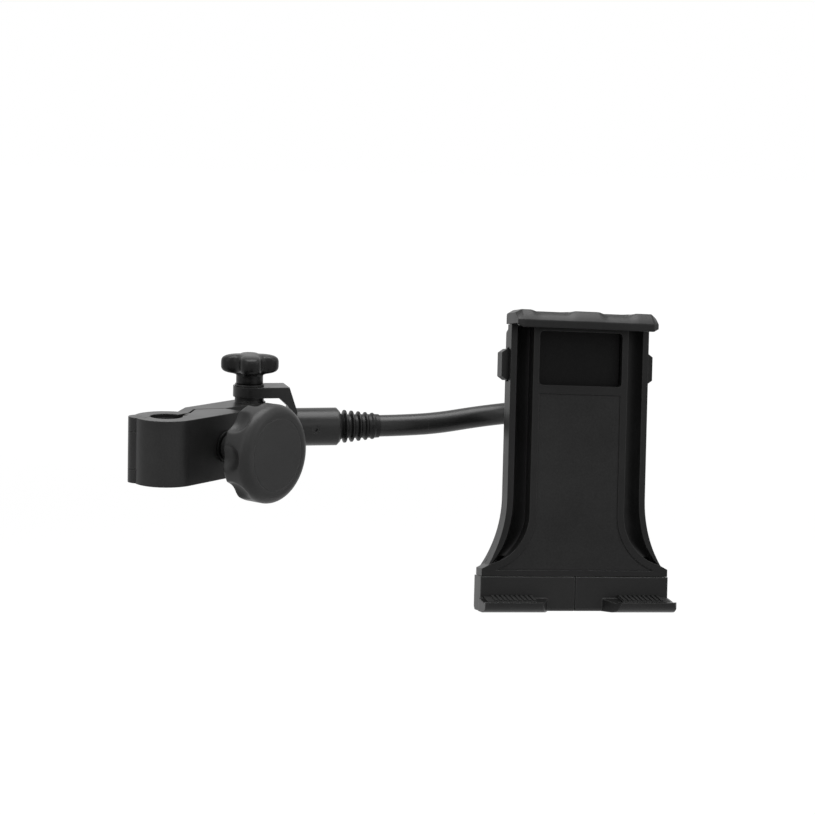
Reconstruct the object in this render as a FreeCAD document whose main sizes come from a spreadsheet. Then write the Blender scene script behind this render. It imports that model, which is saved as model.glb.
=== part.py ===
import FreeCAD, Part
import math
import os

import Sketcher

# Microphone stand tablet holder: pole clamp, swivel fork, flexible arm, ball joint and spring-button cradle.
# Origin: axis of the clamped tube at the middle of the jaws. +Z runs up the tube, +X along the arm,
# and the cradle faces -Y. All lengths are in millimetres, all angles in degrees.

DRIVING_SIZES = {
    # pole clamp, in its own frame: x runs along the tail, y away from the hand knob
    "pole_radius": 8.0,
    "liner_thickness": 2.2,
    "liner_height": 36.0,
    "jaw_height": 41.0,
    "jaw_ring_radius": 20.0,
    "clamp_turn": 39.0,
    "hinge_back": 12.2,
    "hinge_side": 11.8,
    "knuckle_radius": 6.5,
    "knuckle_end_height": 8.5,
    "hinge_pin_radius": 2.0,
    "flap_length": 49.5,
    "flap_nose": 4.4,
    "parting_dip_along": 33.0,
    "parting_dip_side": 5.7,
    "parting_start": 20.0,
    "parting_start_side": 1.8,
    "parting_gap": 1.6,
    "bore_lobe": 14.0,
    "tail_back": 15.6,
    "tail_shoulder": 34.0,
    "tail_notch_along": 18.5,
    "tail_notch_side": 7.6,
    "swivel_along": 84.0,
    "swivel_side": 5.0,
    "screw_along": 34.0,
    "screw_radius": 4.0,
    "screw_end": 15.0,
    "insert_radius": 5.5,
    "screw_slot": 4.0,
    "washer_radius": 10.0,
    "washer_thickness": 1.5,
    # hand knob
    "knob_neck_radius": 8.3,
    "knob_neck_length": 21.0,
    "knob_radius": 31.0,
    "knob_height": 19.2,
    "knob_face_radius": 27.0,
    "knob_cap_radius": 22.0,
    "knob_cap_thickness": 2.4,
    "knob_head_radius": 6.5,
    "knob_head_thickness": 5.0,
    "dimple_count": 8,
    "dimple_radius": 14.0,
    "dimple_depth": 4.6,
    "dimple_rise": 5.5,
    # swivel
    "boss_radius": 9.5,
    "boss_height": 1.5,
    "fork_ear_thickness": 7.0,
    "fork_width": 21.4,
    "fork_reach": 24.6,
    "fork_web_reach": 30.0,
    "fork_web_half_height": 16.0,
    "fork_arch_reach": 26.6,
    "fork_arch_flat": 18.0,
    "bolt_radius": 4.0,
    "bolt_head_width": 13.0,
    "bolt_head_height": 5.3,
    "bolt_top": 14.0,
    "star_washer_thickness": 1.2,
    "star_neck_radius": 8.8,
    "star_neck_height": 6.6,
    "star_height": 12.8,
    "star_lobes": 4,
    "star_lobe_radius": 6.9,
    "star_lobe_place": 11.9,
    "star_valley_radius": 5.6,
    "star_bevel": 3.0,
    "star_edge": 1.1,
    # arm
    "collar_radius": 12.5,
    "collar_start": 86.0,
    "collar_end": 122.5,
    "collar_rise": 3.0,
    "ferrule_radius": 8.5,
    "ferrule_start": 96.0,
    "set_screw_place": 104.5,
    "set_screw_radius": 2.5,
    "relief_length": 27.0,
    "relief_root_radius": 7.9,
    "relief_rib_radius": 10.9,
    "relief_last_rib_radius": 8.8,
    "relief_ribs": 5,
    "sleeve_radius": 7.2,
    "core_radius": 5.4,
    "ferrule_end_length": 12.0,
    "crook_x": 241.0,
    "crook_y": 69.5,
    "crook_z": 9.0,
    "crook_radius": 39.0,
    "ball_radius": 9.0,
    "stud_radius": 3.5,
    "stud_length": 17.0,
    "ball_grip_angle": 60.0,
    # cradle, in its own frame: x to the right, y away from the tablet, z up
    "cradle_x": 262.05,
    "cradle_y": -24.0,
    "cradle_z": 15.4,
    "cradle_lean": 9.0,
    "cradle_roll": 2.1,
    "trunk_top": 63.5,
    "trunk_bottom": 96.6,
    "spine_half_width": 32.0,
    "ridge_width": 4.5,
    "spine_flare_start": 57.0,
    "spine_flare_radius": 33.0,
    "rim_half_width": 46.7,
    "rim_flat": 4.0,
    "rim_set_back": 1.5,
    "rim_flare_start": 47.0,
    "base_half_width": 62.9,
    "cove_depth": 9.5,
    "front_thickness": 12.0,
    "front_wall": 2.4,
    "cover_thickness": 8.0,
    "cover_wall": 2.5,
    "cover_inset": 1.6,
    "pad_top": 20.0,
    "pad_bottom": 92.8,
    "pad_seat": 1.6,
    "pad_thickness": 1.2,
    "window_bottom": 25.5,
    "window_top": 60.0,
    "window_half_width": 28.0,
    "cavity_half_width": 29.5,
    "socket_radius": 13.0,
    "ball_back": 34.0,
    "ball_rise": 10.0,
    "lock_ring_radius": 17.0,
    "slide_half_width": 27.4,
    "rack_half_width": 26.0,
    "slide_face": 1.8,
    "slide_thickness": 4.0,
    "slide_bottom": 60.0,
    "tooth_pitch": 3.0,
    "tooth_depth": 1.2,
    "tooth_count": 26,
    "jaw_half_width": 47.3,
    "jaw_front": 15.6,
    "jaw_back": 11.0,
    "jaw_block_height": 9.0,
    "jaw_face_height": 4.5,
    "jaw_lip_drop": 2.6,
    "jaw_lip_thickness": 3.0,
    "jaw_dip": 1.2,
    "jaw_brow_radius": 9.0,
    "jaw_brow_depth": 5.0,
    "jaw_corner_radius": 3.0,
    "button_height": 20.0,
    "button_centre": 38.0,
    "button_reach": 51.3,
    "button_travel": 2.0,
    "foot_height": 22.0,
    "foot_depth": 14.0,
    "foot_wall": 2.6,
    "hook_reach": 15.0,
    "hook_inner": 18.5,
    "hook_inner_tip": 27.5,
    "tray_drop": 13.6,
    "tray_lip_drop": 15.2,
    "tray_thickness": 4.0,
    "foot_rib_pitch": 3.2,
    # fits
    "running_gap": 0.3,
    "pin_clearance": 0.05,
    "seat_gap": 0.1,
}

doc = FreeCAD.newDocument("tablet_holder")
sheet = doc.addObject("Spreadsheet::Sheet", "Sizes")
for row, (alias, value) in enumerate(DRIVING_SIZES.items(), start=1):
    sheet.set(f"A{row}", alias.replace("_", " "))
    sheet.set(f"B{row}", str(value))
    sheet.setAlias(f"B{row}", alias)
doc.recompute()


class Size:
    """A size that keeps its number and the formula that ties it to the sheet."""

    def __init__(self, number, formula):
        self.number = float(number)
        self.formula = formula

    def __add__(self, other):
        return Size(self.number + number_of(other), f"({self.formula} + {formula_of(other)})")

    def __radd__(self, other):
        return Size(number_of(other) + self.number, f"({formula_of(other)} + {self.formula})")

    def __sub__(self, other):
        return Size(self.number - number_of(other), f"({self.formula} - {formula_of(other)})")

    def __rsub__(self, other):
        return Size(number_of(other) - self.number, f"({formula_of(other)} - {self.formula})")

    def __mul__(self, other):
        return Size(self.number * number_of(other), f"({self.formula} * {formula_of(other)})")

    def __rmul__(self, other):
        return Size(number_of(other) * self.number, f"({formula_of(other)} * {self.formula})")

    def __truediv__(self, other):
        return Size(self.number / number_of(other), f"({self.formula} / {formula_of(other)})")

    def __neg__(self):
        return Size(-self.number, f"(0 - {self.formula})")


def number_of(value):
    return value.number if isinstance(value, Size) else float(value)


def formula_of(value):
    return value.formula if isinstance(value, Size) else repr(float(value))


def of_angle(function, angle):
    """Sine or cosine of an angle in degrees, as a size."""
    number = getattr(math, function)(math.radians(number_of(angle)))
    return Size(number, f"{function}({formula_of(angle)} * 1 deg)")


class Sheet:
    """Reads a driving size by its name."""

    def __getattr__(self, alias):
        return Size(sheet.get(alias), f"Sizes.{alias}")


size = Sheet()


def bind(thing, prop, value):
    """Gives a property its value and, where it is a size, its formula."""
    if isinstance(value, Size):
        thing.setExpression(prop, value.formula)
    elif "." in prop:
        thing.setExpression(prop, repr(float(value)))
    else:
        setattr(thing, prop, value)


def vector(x, y, z):
    return FreeCAD.Vector(number_of(x), number_of(y), number_of(z))


def turn(axis, angle):
    return FreeCAD.Placement(FreeCAD.Vector(), FreeCAD.Rotation(FreeCAD.Vector(*axis), number_of(angle)))


def shift(x, y, z):
    return FreeCAD.Placement(vector(x, y, z), FreeCAD.Rotation())


CLAMP_FRAME = turn((0, 0, 1), size.clamp_turn)
CRADLE_FRAME = (
    shift(size.cradle_x, size.cradle_y, size.cradle_z)
    * turn((1, 0, 0), -size.cradle_lean)
    * turn((0, 1, 0), size.cradle_roll)
)


def new_body(name, placement=None):
    body = doc.addObject("PartDesign::Body", name)
    body.Label = name
    if placement is not None:
        body.Placement = placement
    return body


def new_sketch(body, plane, offset=0.0):
    """A sketch on one of the body's own origin planes, moved along the plane's normal."""
    sketch = body.newObject("Sketcher::SketchObject", body.Name + "_sketch")
    support = [f for f in body.Origin.OriginFeatures if f.Role == plane][0]
    sketch.AttachmentSupport = [(support, "")]
    sketch.MapMode = "FlatFace"
    bind(sketch, "AttachmentOffset.Base.z", offset)
    return sketch


def pin_point(sketch, geometry, point, x, y):
    """Fixes a point of the sketch by its two coordinates."""
    for kind, axis, value in (("DistanceX", -2, x), ("DistanceY", -1, y)):
        if not isinstance(value, Size) and abs(value) < 1e-9:
            sketch.addConstraint(Sketcher.Constraint("PointOnObject", geometry, point, axis))
        else:
            index = sketch.addConstraint(
                Sketcher.Constraint(kind, -1, 1, geometry, point, number_of(value))
            )
            if isinstance(value, Size):
                sketch.setExpression(f"Constraints[{index}]", value.formula)


def arc_centre(start, end, radius):
    """Centre of the short arc from start to end: a positive radius turns to the left."""
    middle = (start + end) * 0.5
    chord = end - start
    height = math.sqrt(max(radius * radius - chord.Length ** 2 / 4.0, 0.0))
    left = FreeCAD.Vector(-chord.y, chord.x, 0).normalize()
    return middle + left * height * (1 if radius > 0 else -1)


def draw_outline(sketch, corners):
    """A closed outline. A corner is (x, y), or (x, y, radius) where an arc leads to the next one."""
    ends = []
    count = len(corners)
    for index, corner in enumerate(corners):
        following = corners[(index + 1) % count]
        start = vector(corner[0], corner[1], 0)
        end = vector(following[0], following[1], 0)
        if len(corner) == 2:
            geometry = sketch.addGeometry(Part.LineSegment(start, end), False)
            ends.append((geometry, 1, 2))
            continue
        radius = number_of(corner[2])
        centre = arc_centre(start, end, radius)
        first, last = (start, end) if radius > 0 else (end, start)
        angles = [math.atan2(p.y - centre.y, p.x - centre.x) for p in (first, last)]
        if angles[1] < angles[0]:
            angles[1] += 2 * math.pi
        circle = Part.Circle(centre, FreeCAD.Vector(0, 0, 1), abs(radius))
        geometry = sketch.addGeometry(Part.ArcOfCircle(circle, angles[0], angles[1]), False)
        ends.append((geometry, 1, 2) if radius > 0 else (geometry, 2, 1))
    for index, corner in enumerate(corners):
        geometry, start_point, _ = ends[index]
        before, _, end_point = ends[index - 1]
        sketch.addConstraint(
            Sketcher.Constraint("Coincident", before, end_point, geometry, start_point)
        )
        pin_point(sketch, geometry, start_point, corner[0], corner[1])
        if len(corner) == 3:
            radius = corner[2] if number_of(corner[2]) > 0 else -corner[2]
            constraint = sketch.addConstraint(
                Sketcher.Constraint("Radius", geometry, number_of(radius))
            )
            if isinstance(radius, Size):
                sketch.setExpression(f"Constraints[{constraint}]", radius.formula)
    return sketch


def draw_circle(sketch, x, y, radius):
    circle = Part.Circle(vector(x, y, 0), FreeCAD.Vector(0, 0, 1), number_of(radius))
    geometry = sketch.addGeometry(circle, False)
    pin_point(sketch, geometry, 3, x, y)
    index = sketch.addConstraint(Sketcher.Constraint("Radius", geometry, number_of(radius)))
    if isinstance(radius, Size):
        sketch.setExpression(f"Constraints[{index}]", radius.formula)
    return sketch


def box_corners(low_x, low_y, high_x, high_y):
    return [(low_x, low_y), (high_x, low_y), (high_x, high_y), (low_x, high_y)]


def check_volume(body, before, grows):
    doc.recompute()
    after = body.Shape.Volume
    if (grows and after <= before) or (not grows and after >= before):
        raise RuntimeError(f"a feature of {body.Label} changed nothing: {before:.2f} to {after:.2f}")


def volume_of(body):
    doc.recompute()
    return 0.0 if body.Shape.isNull() else body.Shape.Volume


def pad(body, sketch, length, back=False):
    before = volume_of(body) if body.Tip is not None and body.Tip != sketch else 0.0
    feature = body.newObject("PartDesign::Pad", body.Name + "_pad")
    feature.Profile = sketch
    bind(feature, "Length", length)
    feature.Reversed = back
    check_volume(body, before, True)
    return feature


def pocket(body, sketch, length=None, back=False):
    """Cuts a sketch out of the body, to a depth or through everything on both sides."""
    before = volume_of(body)
    feature = body.newObject("PartDesign::Pocket", body.Name + "_pocket")
    feature.Profile = sketch
    if length is None:
        feature.Type = "ThroughAll"
        feature.SideType = "Symmetric"
    else:
        bind(feature, "Length", length)
        feature.Reversed = back
    check_volume(body, before, False)
    return feature


def revolve(body, sketch, axis="V_Axis"):
    feature = body.newObject("PartDesign::Revolution", body.Name + "_turned")
    feature.Profile = sketch
    feature.ReferenceAxis = (sketch, [axis])
    feature.Angle = 360.0
    doc.recompute()
    return feature


def edges_where(body, accept):
    names = []
    for index, edge in enumerate(body.Shape.Edges, start=1):
        if accept(edge):
            names.append(f"Edge{index}")
    return names


def bevel(body, width, levels):
    """Bevels the edges that lie whole in one of the level planes."""
    doc.recompute()

    def lies_level(edge):
        box = edge.BoundBox
        heights = [number_of(level) for level in levels]
        return any(abs(box.ZMin - z) < 0.01 and abs(box.ZMax - z) < 0.01 for z in heights)

    base = body.Tip
    names = edges_where(body, lies_level)
    feature = body.newObject("PartDesign::Chamfer", body.Name + "_bevel")
    feature.Base = (base, names)
    bind(feature, "Size", width)
    before = base.Shape.Volume
    check_volume(body, before, False)


nodes = []


def finish(thing, name):
    thing.Label = name
    nodes.append(thing)
    return thing


def solid(name, shape, placement=None):
    """A piece whose shape is built straight from the sheet's sizes."""
    feature = doc.addObject("Part::Feature", name)
    feature.Shape = shape
    if placement is not None:
        feature.Placement = placement * feature.Placement
    return finish(feature, name)


# Pole clamp

half_jaw = size.jaw_height / 2
bore = size.pole_radius + size.liner_thickness
hinge_x = -size.hinge_back
hinge_y = size.hinge_side
knuckle_middle = size.jaw_height - size.knuckle_end_height * 2
HINGE_ANGLE = math.degrees(math.atan2(number_of(hinge_y), number_of(hinge_x)))
FLAP_SPLIT = HINGE_ANGLE + 5.0
REAR_SPLIT = HINGE_ANGLE - 4.0
LOBE_SIDE = size.pole_radius * 0.72


def on_ring(radius, angle):
    return radius * math.cos(math.radians(angle)), radius * math.sin(math.radians(angle))


def on_ring_at_side(radius, side):
    """Point of a circle about the tube, on the tail side, with the given y."""
    along = math.sqrt(number_of(radius) ** 2 - number_of(side) ** 2)
    return along, side


def offset_parting(distance):
    """The parting line of the jaws, moved towards the rear jaw: nose, dip and start."""
    nose = vector(size.flap_length, -size.flap_nose, 0)
    dip = vector(size.parting_dip_along, size.parting_dip_side, 0)
    start = vector(size.parting_start, -size.parting_start_side, 0)
    first = (dip - nose).normalize()
    second = (start - dip).normalize()
    first_normal = FreeCAD.Vector(first.y, -first.x, 0)
    second_normal = FreeCAD.Vector(second.y, -second.x, 0)
    gap = number_of(distance)
    bisector = (first_normal + second_normal).normalize()
    moved_dip = dip + bisector * (gap / bisector.dot(first_normal))
    moved_nose = nose + first_normal * gap
    level = -number_of(size.parting_start_side) + gap
    rate = (level - moved_dip.y) / second.y
    moved_start = moved_dip + second * rate
    return moved_nose - first * gap, moved_dip, moved_start


def flap_outline():
    ring_start = on_ring(size.jaw_ring_radius, FLAP_SPLIT)
    ring_left = on_ring(size.jaw_ring_radius, 215.0)
    bore_left = on_ring(bore, 235.0)
    bore_low = on_ring_at_side(bore, -LOBE_SIDE)
    return [
        (ring_start[0], ring_start[1], size.jaw_ring_radius),
        (ring_left[0], ring_left[1], size.jaw_ring_radius),
        (0.0, -size.jaw_ring_radius),
        (size.flap_length - 2.0, -size.jaw_ring_radius, 2.0),
        (size.flap_length, -size.jaw_ring_radius + 2.0),
        (size.flap_length, -size.flap_nose),
        (size.parting_dip_along, size.parting_dip_side),
        (size.parting_start, -size.parting_start_side),
        (size.bore_lobe, -size.parting_start_side),
        (size.bore_lobe, -LOBE_SIDE),
        (bore_low[0], bore_low[1], -bore),
        (bore_left[0], bore_left[1], -bore),
        on_ring(bore, FLAP_SPLIT),
    ]


def rear_outline():
    nose, dip, start = offset_parting(size.parting_gap)
    bore_start = on_ring_at_side(bore, start.y)
    bore_middle = on_ring(bore, 66.0)
    ring_start = on_ring(size.jaw_ring_radius, REAR_SPLIT)
    ring_middle = on_ring(size.jaw_ring_radius, 75.0)
    tail_radius = size.tail_back - size.swivel_side
    return [
        (nose.x, nose.y),
        (dip.x, dip.y),
        (start.x, start.y),
        (bore_start[0], bore_start[1], bore),
        (bore_middle[0], bore_middle[1], bore),
        on_ring(bore, REAR_SPLIT),
        (ring_start[0], ring_start[1], -size.jaw_ring_radius),
        (ring_middle[0], ring_middle[1], -size.jaw_ring_radius),
        (size.tail_notch_along, size.tail_notch_side),
        (size.tail_shoulder, size.tail_back),
        (size.swivel_along, size.tail_back, -tail_radius),
        (size.swivel_along + tail_radius, size.swivel_side, -tail_radius),
        (size.swivel_along, size.swivel_side - tail_radius),
    ]


def rear_jaw():
    body = new_body("rear_jaw", CLAMP_FRAME)
    pad(body, draw_outline(new_sketch(body, "XY_Plane", -half_jaw), rear_outline()), size.jaw_height)
    clear = size.knuckle_radius + size.running_gap
    sketch = new_sketch(body, "XY_Plane", knuckle_middle / 2 + size.running_gap)
    draw_circle(sketch, hinge_x, hinge_y, clear)
    pocket(body, sketch, knuckle_middle + size.running_gap * 2)
    for base in (-half_jaw, half_jaw - size.knuckle_end_height):
        sketch = draw_circle(new_sketch(body, "XY_Plane", base), hinge_x, hinge_y, size.knuckle_radius)
        pad(body, sketch, size.knuckle_end_height)
    sketch = draw_circle(new_sketch(body, "XY_Plane"), hinge_x, hinge_y, size.hinge_pin_radius)
    pocket(body, sketch)
    sketch = draw_circle(new_sketch(body, "XZ_Plane"), size.screw_along, 0.0, size.insert_radius)
    pocket(body, sketch)
    sketch = new_sketch(body, "XY_Plane", half_jaw)
    pad(body, draw_circle(sketch, size.swivel_along, size.swivel_side, size.boss_radius), size.boss_height)
    sketch = new_sketch(body, "XY_Plane", -half_jaw)
    draw_circle(sketch, size.swivel_along, size.swivel_side, size.boss_radius)
    pad(body, sketch, size.boss_height, back=True)
    sketch = new_sketch(body, "XY_Plane")
    draw_circle(sketch, size.swivel_along, size.swivel_side, size.bolt_radius + size.pin_clearance)
    pocket(body, sketch)
    return finish(body, "rear_jaw")


def front_jaw():
    body = new_body("front_jaw", CLAMP_FRAME)
    pad(body, draw_outline(new_sketch(body, "XY_Plane", -half_jaw), flap_outline()), size.jaw_height)
    clear = size.knuckle_radius + size.running_gap
    depth = size.knuckle_end_height + size.running_gap
    sketch = draw_circle(new_sketch(body, "XY_Plane", half_jaw), hinge_x, hinge_y, clear)
    pocket(body, sketch, depth)
    sketch = draw_circle(new_sketch(body, "XY_Plane", -half_jaw), hinge_x, hinge_y, clear)
    pocket(body, sketch, depth, back=True)
    height = knuckle_middle - size.running_gap * 2
    sketch = draw_circle(new_sketch(body, "XY_Plane", -height / 2), hinge_x, hinge_y, size.knuckle_radius)
    pad(body, sketch, height)
    sketch = new_sketch(body, "XY_Plane")
    pocket(body, draw_circle(sketch, hinge_x, hinge_y, size.hinge_pin_radius + size.pin_clearance))
    radius = size.screw_radius + 0.5
    start = size.screw_along
    end = size.screw_along + size.screw_slot
    slot = [
        (start, radius, radius),
        (start - radius, 0.0, radius),
        (start, -radius),
        (end, -radius, radius),
        (end + radius, 0.0, radius),
        (end, radius),
    ]
    pocket(body, draw_outline(new_sketch(body, "XZ_Plane"), slot))
    return finish(body, "front_jaw")


def liner(name, first, last):
    """Rubber strip on the bore wall, between two angles about the tube, with grip grooves."""
    body = new_body(name, CLAMP_FRAME)
    middle = (first + last) / 2
    inner = [on_ring(size.pole_radius, a) for a in (first, middle, last)]
    outer = [on_ring(bore, a) for a in (first, middle, last)]
    corners = [
        (outer[0][0], outer[0][1], bore),
        (outer[1][0], outer[1][1], bore),
        outer[2],
        (inner[2][0], inner[2][1], -size.pole_radius),
        (inner[1][0], inner[1][1], -size.pole_radius),
        inner[0],
    ]
    pad(body, draw_outline(new_sketch(body, "XY_Plane", -size.liner_height / 2), corners), size.liner_height)
    return finish(body, name)


def turned(name, profile, placement):
    """A round piece: half profile of (radius, height) corners, turned about its own z axis."""
    body = new_body(name, placement)
    revolve(body, draw_outline(new_sketch(body, "XZ_Plane"), profile))
    return finish(body, name)


def ring_profile(inner, outer, low, high):
    return box_corners(inner, low, outer, high)


screw_bore = size.screw_radius
screw_shaft = size.screw_radius - size.pin_clearance
flap_face = size.jaw_ring_radius
washer_seat = flap_face + size.seat_gap * 2
knob_start = washer_seat + size.washer_thickness + size.seat_gap
KNOB_AXIS = CLAMP_FRAME * shift(size.screw_along, 0.0, 0.0) * turn((1, 0, 0), 90.0)
knob_total = size.knob_neck_length + size.knob_height
cap_floor = knob_total - size.knob_cap_thickness + 0.6
head_start = size.knob_neck_length + 2.2
head_end = head_start + size.knob_head_thickness


def clamp_pieces():
    hinge = shift(number_of(hinge_x), number_of(hinge_y), 0.0)
    pin = [
        (0.0, -half_jaw),
        (size.hinge_pin_radius, -half_jaw),
        (size.hinge_pin_radius, half_jaw),
        (0.0, half_jaw),
    ]
    turned("hinge_pin", pin, CLAMP_FRAME * hinge)
    _, dip, _ = offset_parting(size.parting_gap)
    insert = ring_profile(screw_bore, size.insert_radius, -size.tail_back + 0.2, -(dip.y + 0.3))
    turned("thread_insert", insert, KNOB_AXIS)
    washer = ring_profile(
        size.screw_radius + 0.2, size.washer_radius, washer_seat, washer_seat + size.washer_thickness
    )
    turned("thrust_washer", washer, KNOB_AXIS)
    screw = [
        (0.0, -size.screw_end),
        (screw_shaft - 0.8, -size.screw_end),
        (screw_shaft, -size.screw_end + 0.8),
        (screw_shaft, knob_start + head_start),
        (size.knob_head_radius, knob_start + head_start),
        (size.knob_head_radius, knob_start + head_end),
        (0.0, knob_start + head_end),
    ]
    turned("clamp_screw", screw, KNOB_AXIS)


def clamp_knob():
    """Hand knob: neck, dished back, dimpled grip and a bevelled face with a seat for the cap."""
    body = new_body("clamp_knob", KNOB_AXIS * shift(0.0, 0.0, knob_start))
    back = size.knob_neck_length
    seat = size.knob_cap_radius + size.seat_gap
    face_drop = size.knob_radius - size.knob_face_radius
    profile = [
        (screw_shaft, 0.0),
        (size.knob_neck_radius - 0.6, 0.0),
        (size.knob_neck_radius, 0.6),
        (size.knob_neck_radius, back - 3.0),
        (size.knob_neck_radius + 3.0, back),
        (size.knob_radius - 1.6, back),
        (size.knob_radius, back + 1.6),
        (size.knob_radius, knob_total - face_drop * 1.5),
        (size.knob_radius - face_drop * 0.35, knob_total - face_drop * 0.6),
        (size.knob_face_radius, knob_total),
        (seat, knob_total),
        (seat, cap_floor),
        (0.0, cap_floor),
        (0.0, head_end),
        (size.knob_head_radius, head_end),
        (size.knob_head_radius, head_start),
        (screw_shaft, head_start),
    ]
    revolve(body, draw_outline(new_sketch(body, "XZ_Plane"), profile))
    before = volume_of(body)
    dimple = body.newObject("PartDesign::SubtractiveSphere", "dimple")
    bind(dimple, "Radius", size.dimple_radius)
    support = [f for f in body.Origin.OriginFeatures if f.Role == "XY_Plane"][0]
    dimple.AttachmentSupport = [(support, "")]
    dimple.MapMode = "FlatFace"
    bind(dimple, "AttachmentOffset.Base.x", size.knob_radius + size.dimple_radius - size.dimple_depth)
    bind(dimple, "AttachmentOffset.Base.z", back + size.dimple_rise)
    check_volume(body, before, False)
    pattern = body.newObject("PartDesign::PolarPattern", "dimples")
    pattern.Originals = [dimple]
    axis = [f for f in body.Origin.OriginFeatures if f.Role == "Z_Axis"][0]
    pattern.Axis = (axis, [""])
    pattern.Angle = 360.0
    bind(pattern, "Occurrences", size.dimple_count)
    body.Tip = pattern
    check_volume(body, before, False)
    finish(body, "clamp_knob")
    rim = size.knob_cap_radius
    cap = [
        (0.0, cap_floor),
        (rim, cap_floor),
        (rim, knob_total - 0.3),
        (rim - 0.3, knob_total),
        (0.0, knob_total),
    ]
    turned("knob_cap", cap, KNOB_AXIS * shift(0.0, 0.0, knob_start))


# Swivel fork on the clamp's tail

SWIVEL_PLACE = CLAMP_FRAME.multVec(vector(size.swivel_along, size.swivel_side, 0))
SWIVEL_AXIS = shift(SWIVEL_PLACE.x, SWIVEL_PLACE.y, 0.0)
washer_low = half_jaw + size.boss_height
ear_low = washer_low + size.washer_thickness + size.running_gap
ear_high = ear_low + size.fork_ear_thickness
star_washer_low = ear_high + size.seat_gap
star_low = star_washer_low + size.star_washer_thickness + size.seat_gap


def swivel_washers():
    shapes = []
    for low in (number_of(washer_low), -number_of(washer_low + size.washer_thickness)):
        outer = Part.makeCylinder(
            number_of(size.boss_radius), number_of(size.washer_thickness), FreeCAD.Vector(0, 0, low)
        )
        inner = Part.makeCylinder(
            number_of(size.bolt_radius) + 0.2, number_of(size.washer_thickness), FreeCAD.Vector(0, 0, low)
        )
        shapes.append(outer.cut(inner))
    solid("swivel_washers", Part.makeCompound(shapes), SWIVEL_AXIS)


def swivel_fork():
    """C-shaped fork with rounded ears, and the collar that takes the flexible arm."""
    body = new_body("swivel_fork", SWIVEL_AXIS)
    arm_x = size.collar_end - SWIVEL_PLACE.x
    half = size.fork_width / 2
    side = [
        (-half, ear_low),
        (size.fork_arch_flat, ear_low),
        (size.fork_arch_reach, size.fork_web_half_height),
        (size.fork_arch_reach, -size.fork_web_half_height),
        (size.fork_arch_flat, -ear_low),
        (-half, -ear_low),
        (-half, -ear_high),
        (size.fork_reach, -ear_high),
        (size.fork_web_reach, -size.fork_web_half_height + 1.0),
        (size.fork_web_reach, size.fork_web_half_height - 1.0),
        (size.fork_reach, ear_high),
        (-half, ear_high),
    ]
    pad(body, draw_outline(new_sketch(body, "XZ_Plane", -half), side), size.fork_width)
    for turn_side in (1.0, -1.0):
        corner = [
            (-half - 1.0, turn_side * (half + 1.0)),
            (-half - 1.0, 0.0),
            (-half, 0.0, size.fork_width * (-0.5 * turn_side)),
            (0.0, turn_side * half),
            (0.0, turn_side * (half + 1.0)),
        ]
        pocket(body, draw_outline(new_sketch(body, "XY_Plane"), corner))
    start = size.collar_start - SWIVEL_PLACE.x + 1.2
    collar = draw_circle(new_sketch(body, "YZ_Plane", start), 0.0, size.collar_rise, size.collar_radius)
    pad(body, collar, arm_x - start)
    doc.recompute()
    end = number_of(arm_x)
    base = body.Tip
    rim = edges_where(body, lambda e: abs(e.BoundBox.XMin - SWIVEL_PLACE.x - end) < 0.01)
    chamfer = body.newObject("PartDesign::Chamfer", "collar_chamfer")
    chamfer.Base = (base, rim)
    chamfer.Size = 2.0
    doc.recompute()
    sketch = new_sketch(body, "YZ_Plane", arm_x)
    draw_circle(sketch, 0.0, size.collar_rise, size.ferrule_radius)
    pocket(body, sketch, size.collar_end - size.ferrule_start)
    pocket(body, draw_circle(new_sketch(body, "XY_Plane"), 0.0, 0.0, size.bolt_radius))
    sketch = new_sketch(body, "XZ_Plane", size.collar_radius)
    draw_circle(sketch, size.set_screw_place - SWIVEL_PLACE.x, size.collar_rise, size.set_screw_radius)
    pocket(body, sketch, size.collar_radius - size.ferrule_radius + 0.2)
    return finish(body, "swivel_fork")


def swivel_bolt():
    body = new_body("swivel_bolt", SWIVEL_AXIS)
    across = size.bolt_head_width / math.sqrt(3.0)
    hexagon = [
        (across * math.cos(math.radians(60 * i)), across * math.sin(math.radians(60 * i))) for i in range(6)
    ]
    hexagon = [(x if abs(x.number) > 1e-6 else 0.0, y if abs(y.number) > 1e-6 else 0.0) for x, y in hexagon]
    head = draw_outline(new_sketch(body, "XY_Plane", -ear_high - size.bolt_head_height), hexagon)
    pad(body, head, size.bolt_head_height)
    shank = draw_circle(new_sketch(body, "XY_Plane", -ear_high), 0.0, 0.0, size.bolt_radius)
    pad(body, shank, ear_high * 2 + size.bolt_top)
    finish(body, "swivel_bolt")


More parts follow.
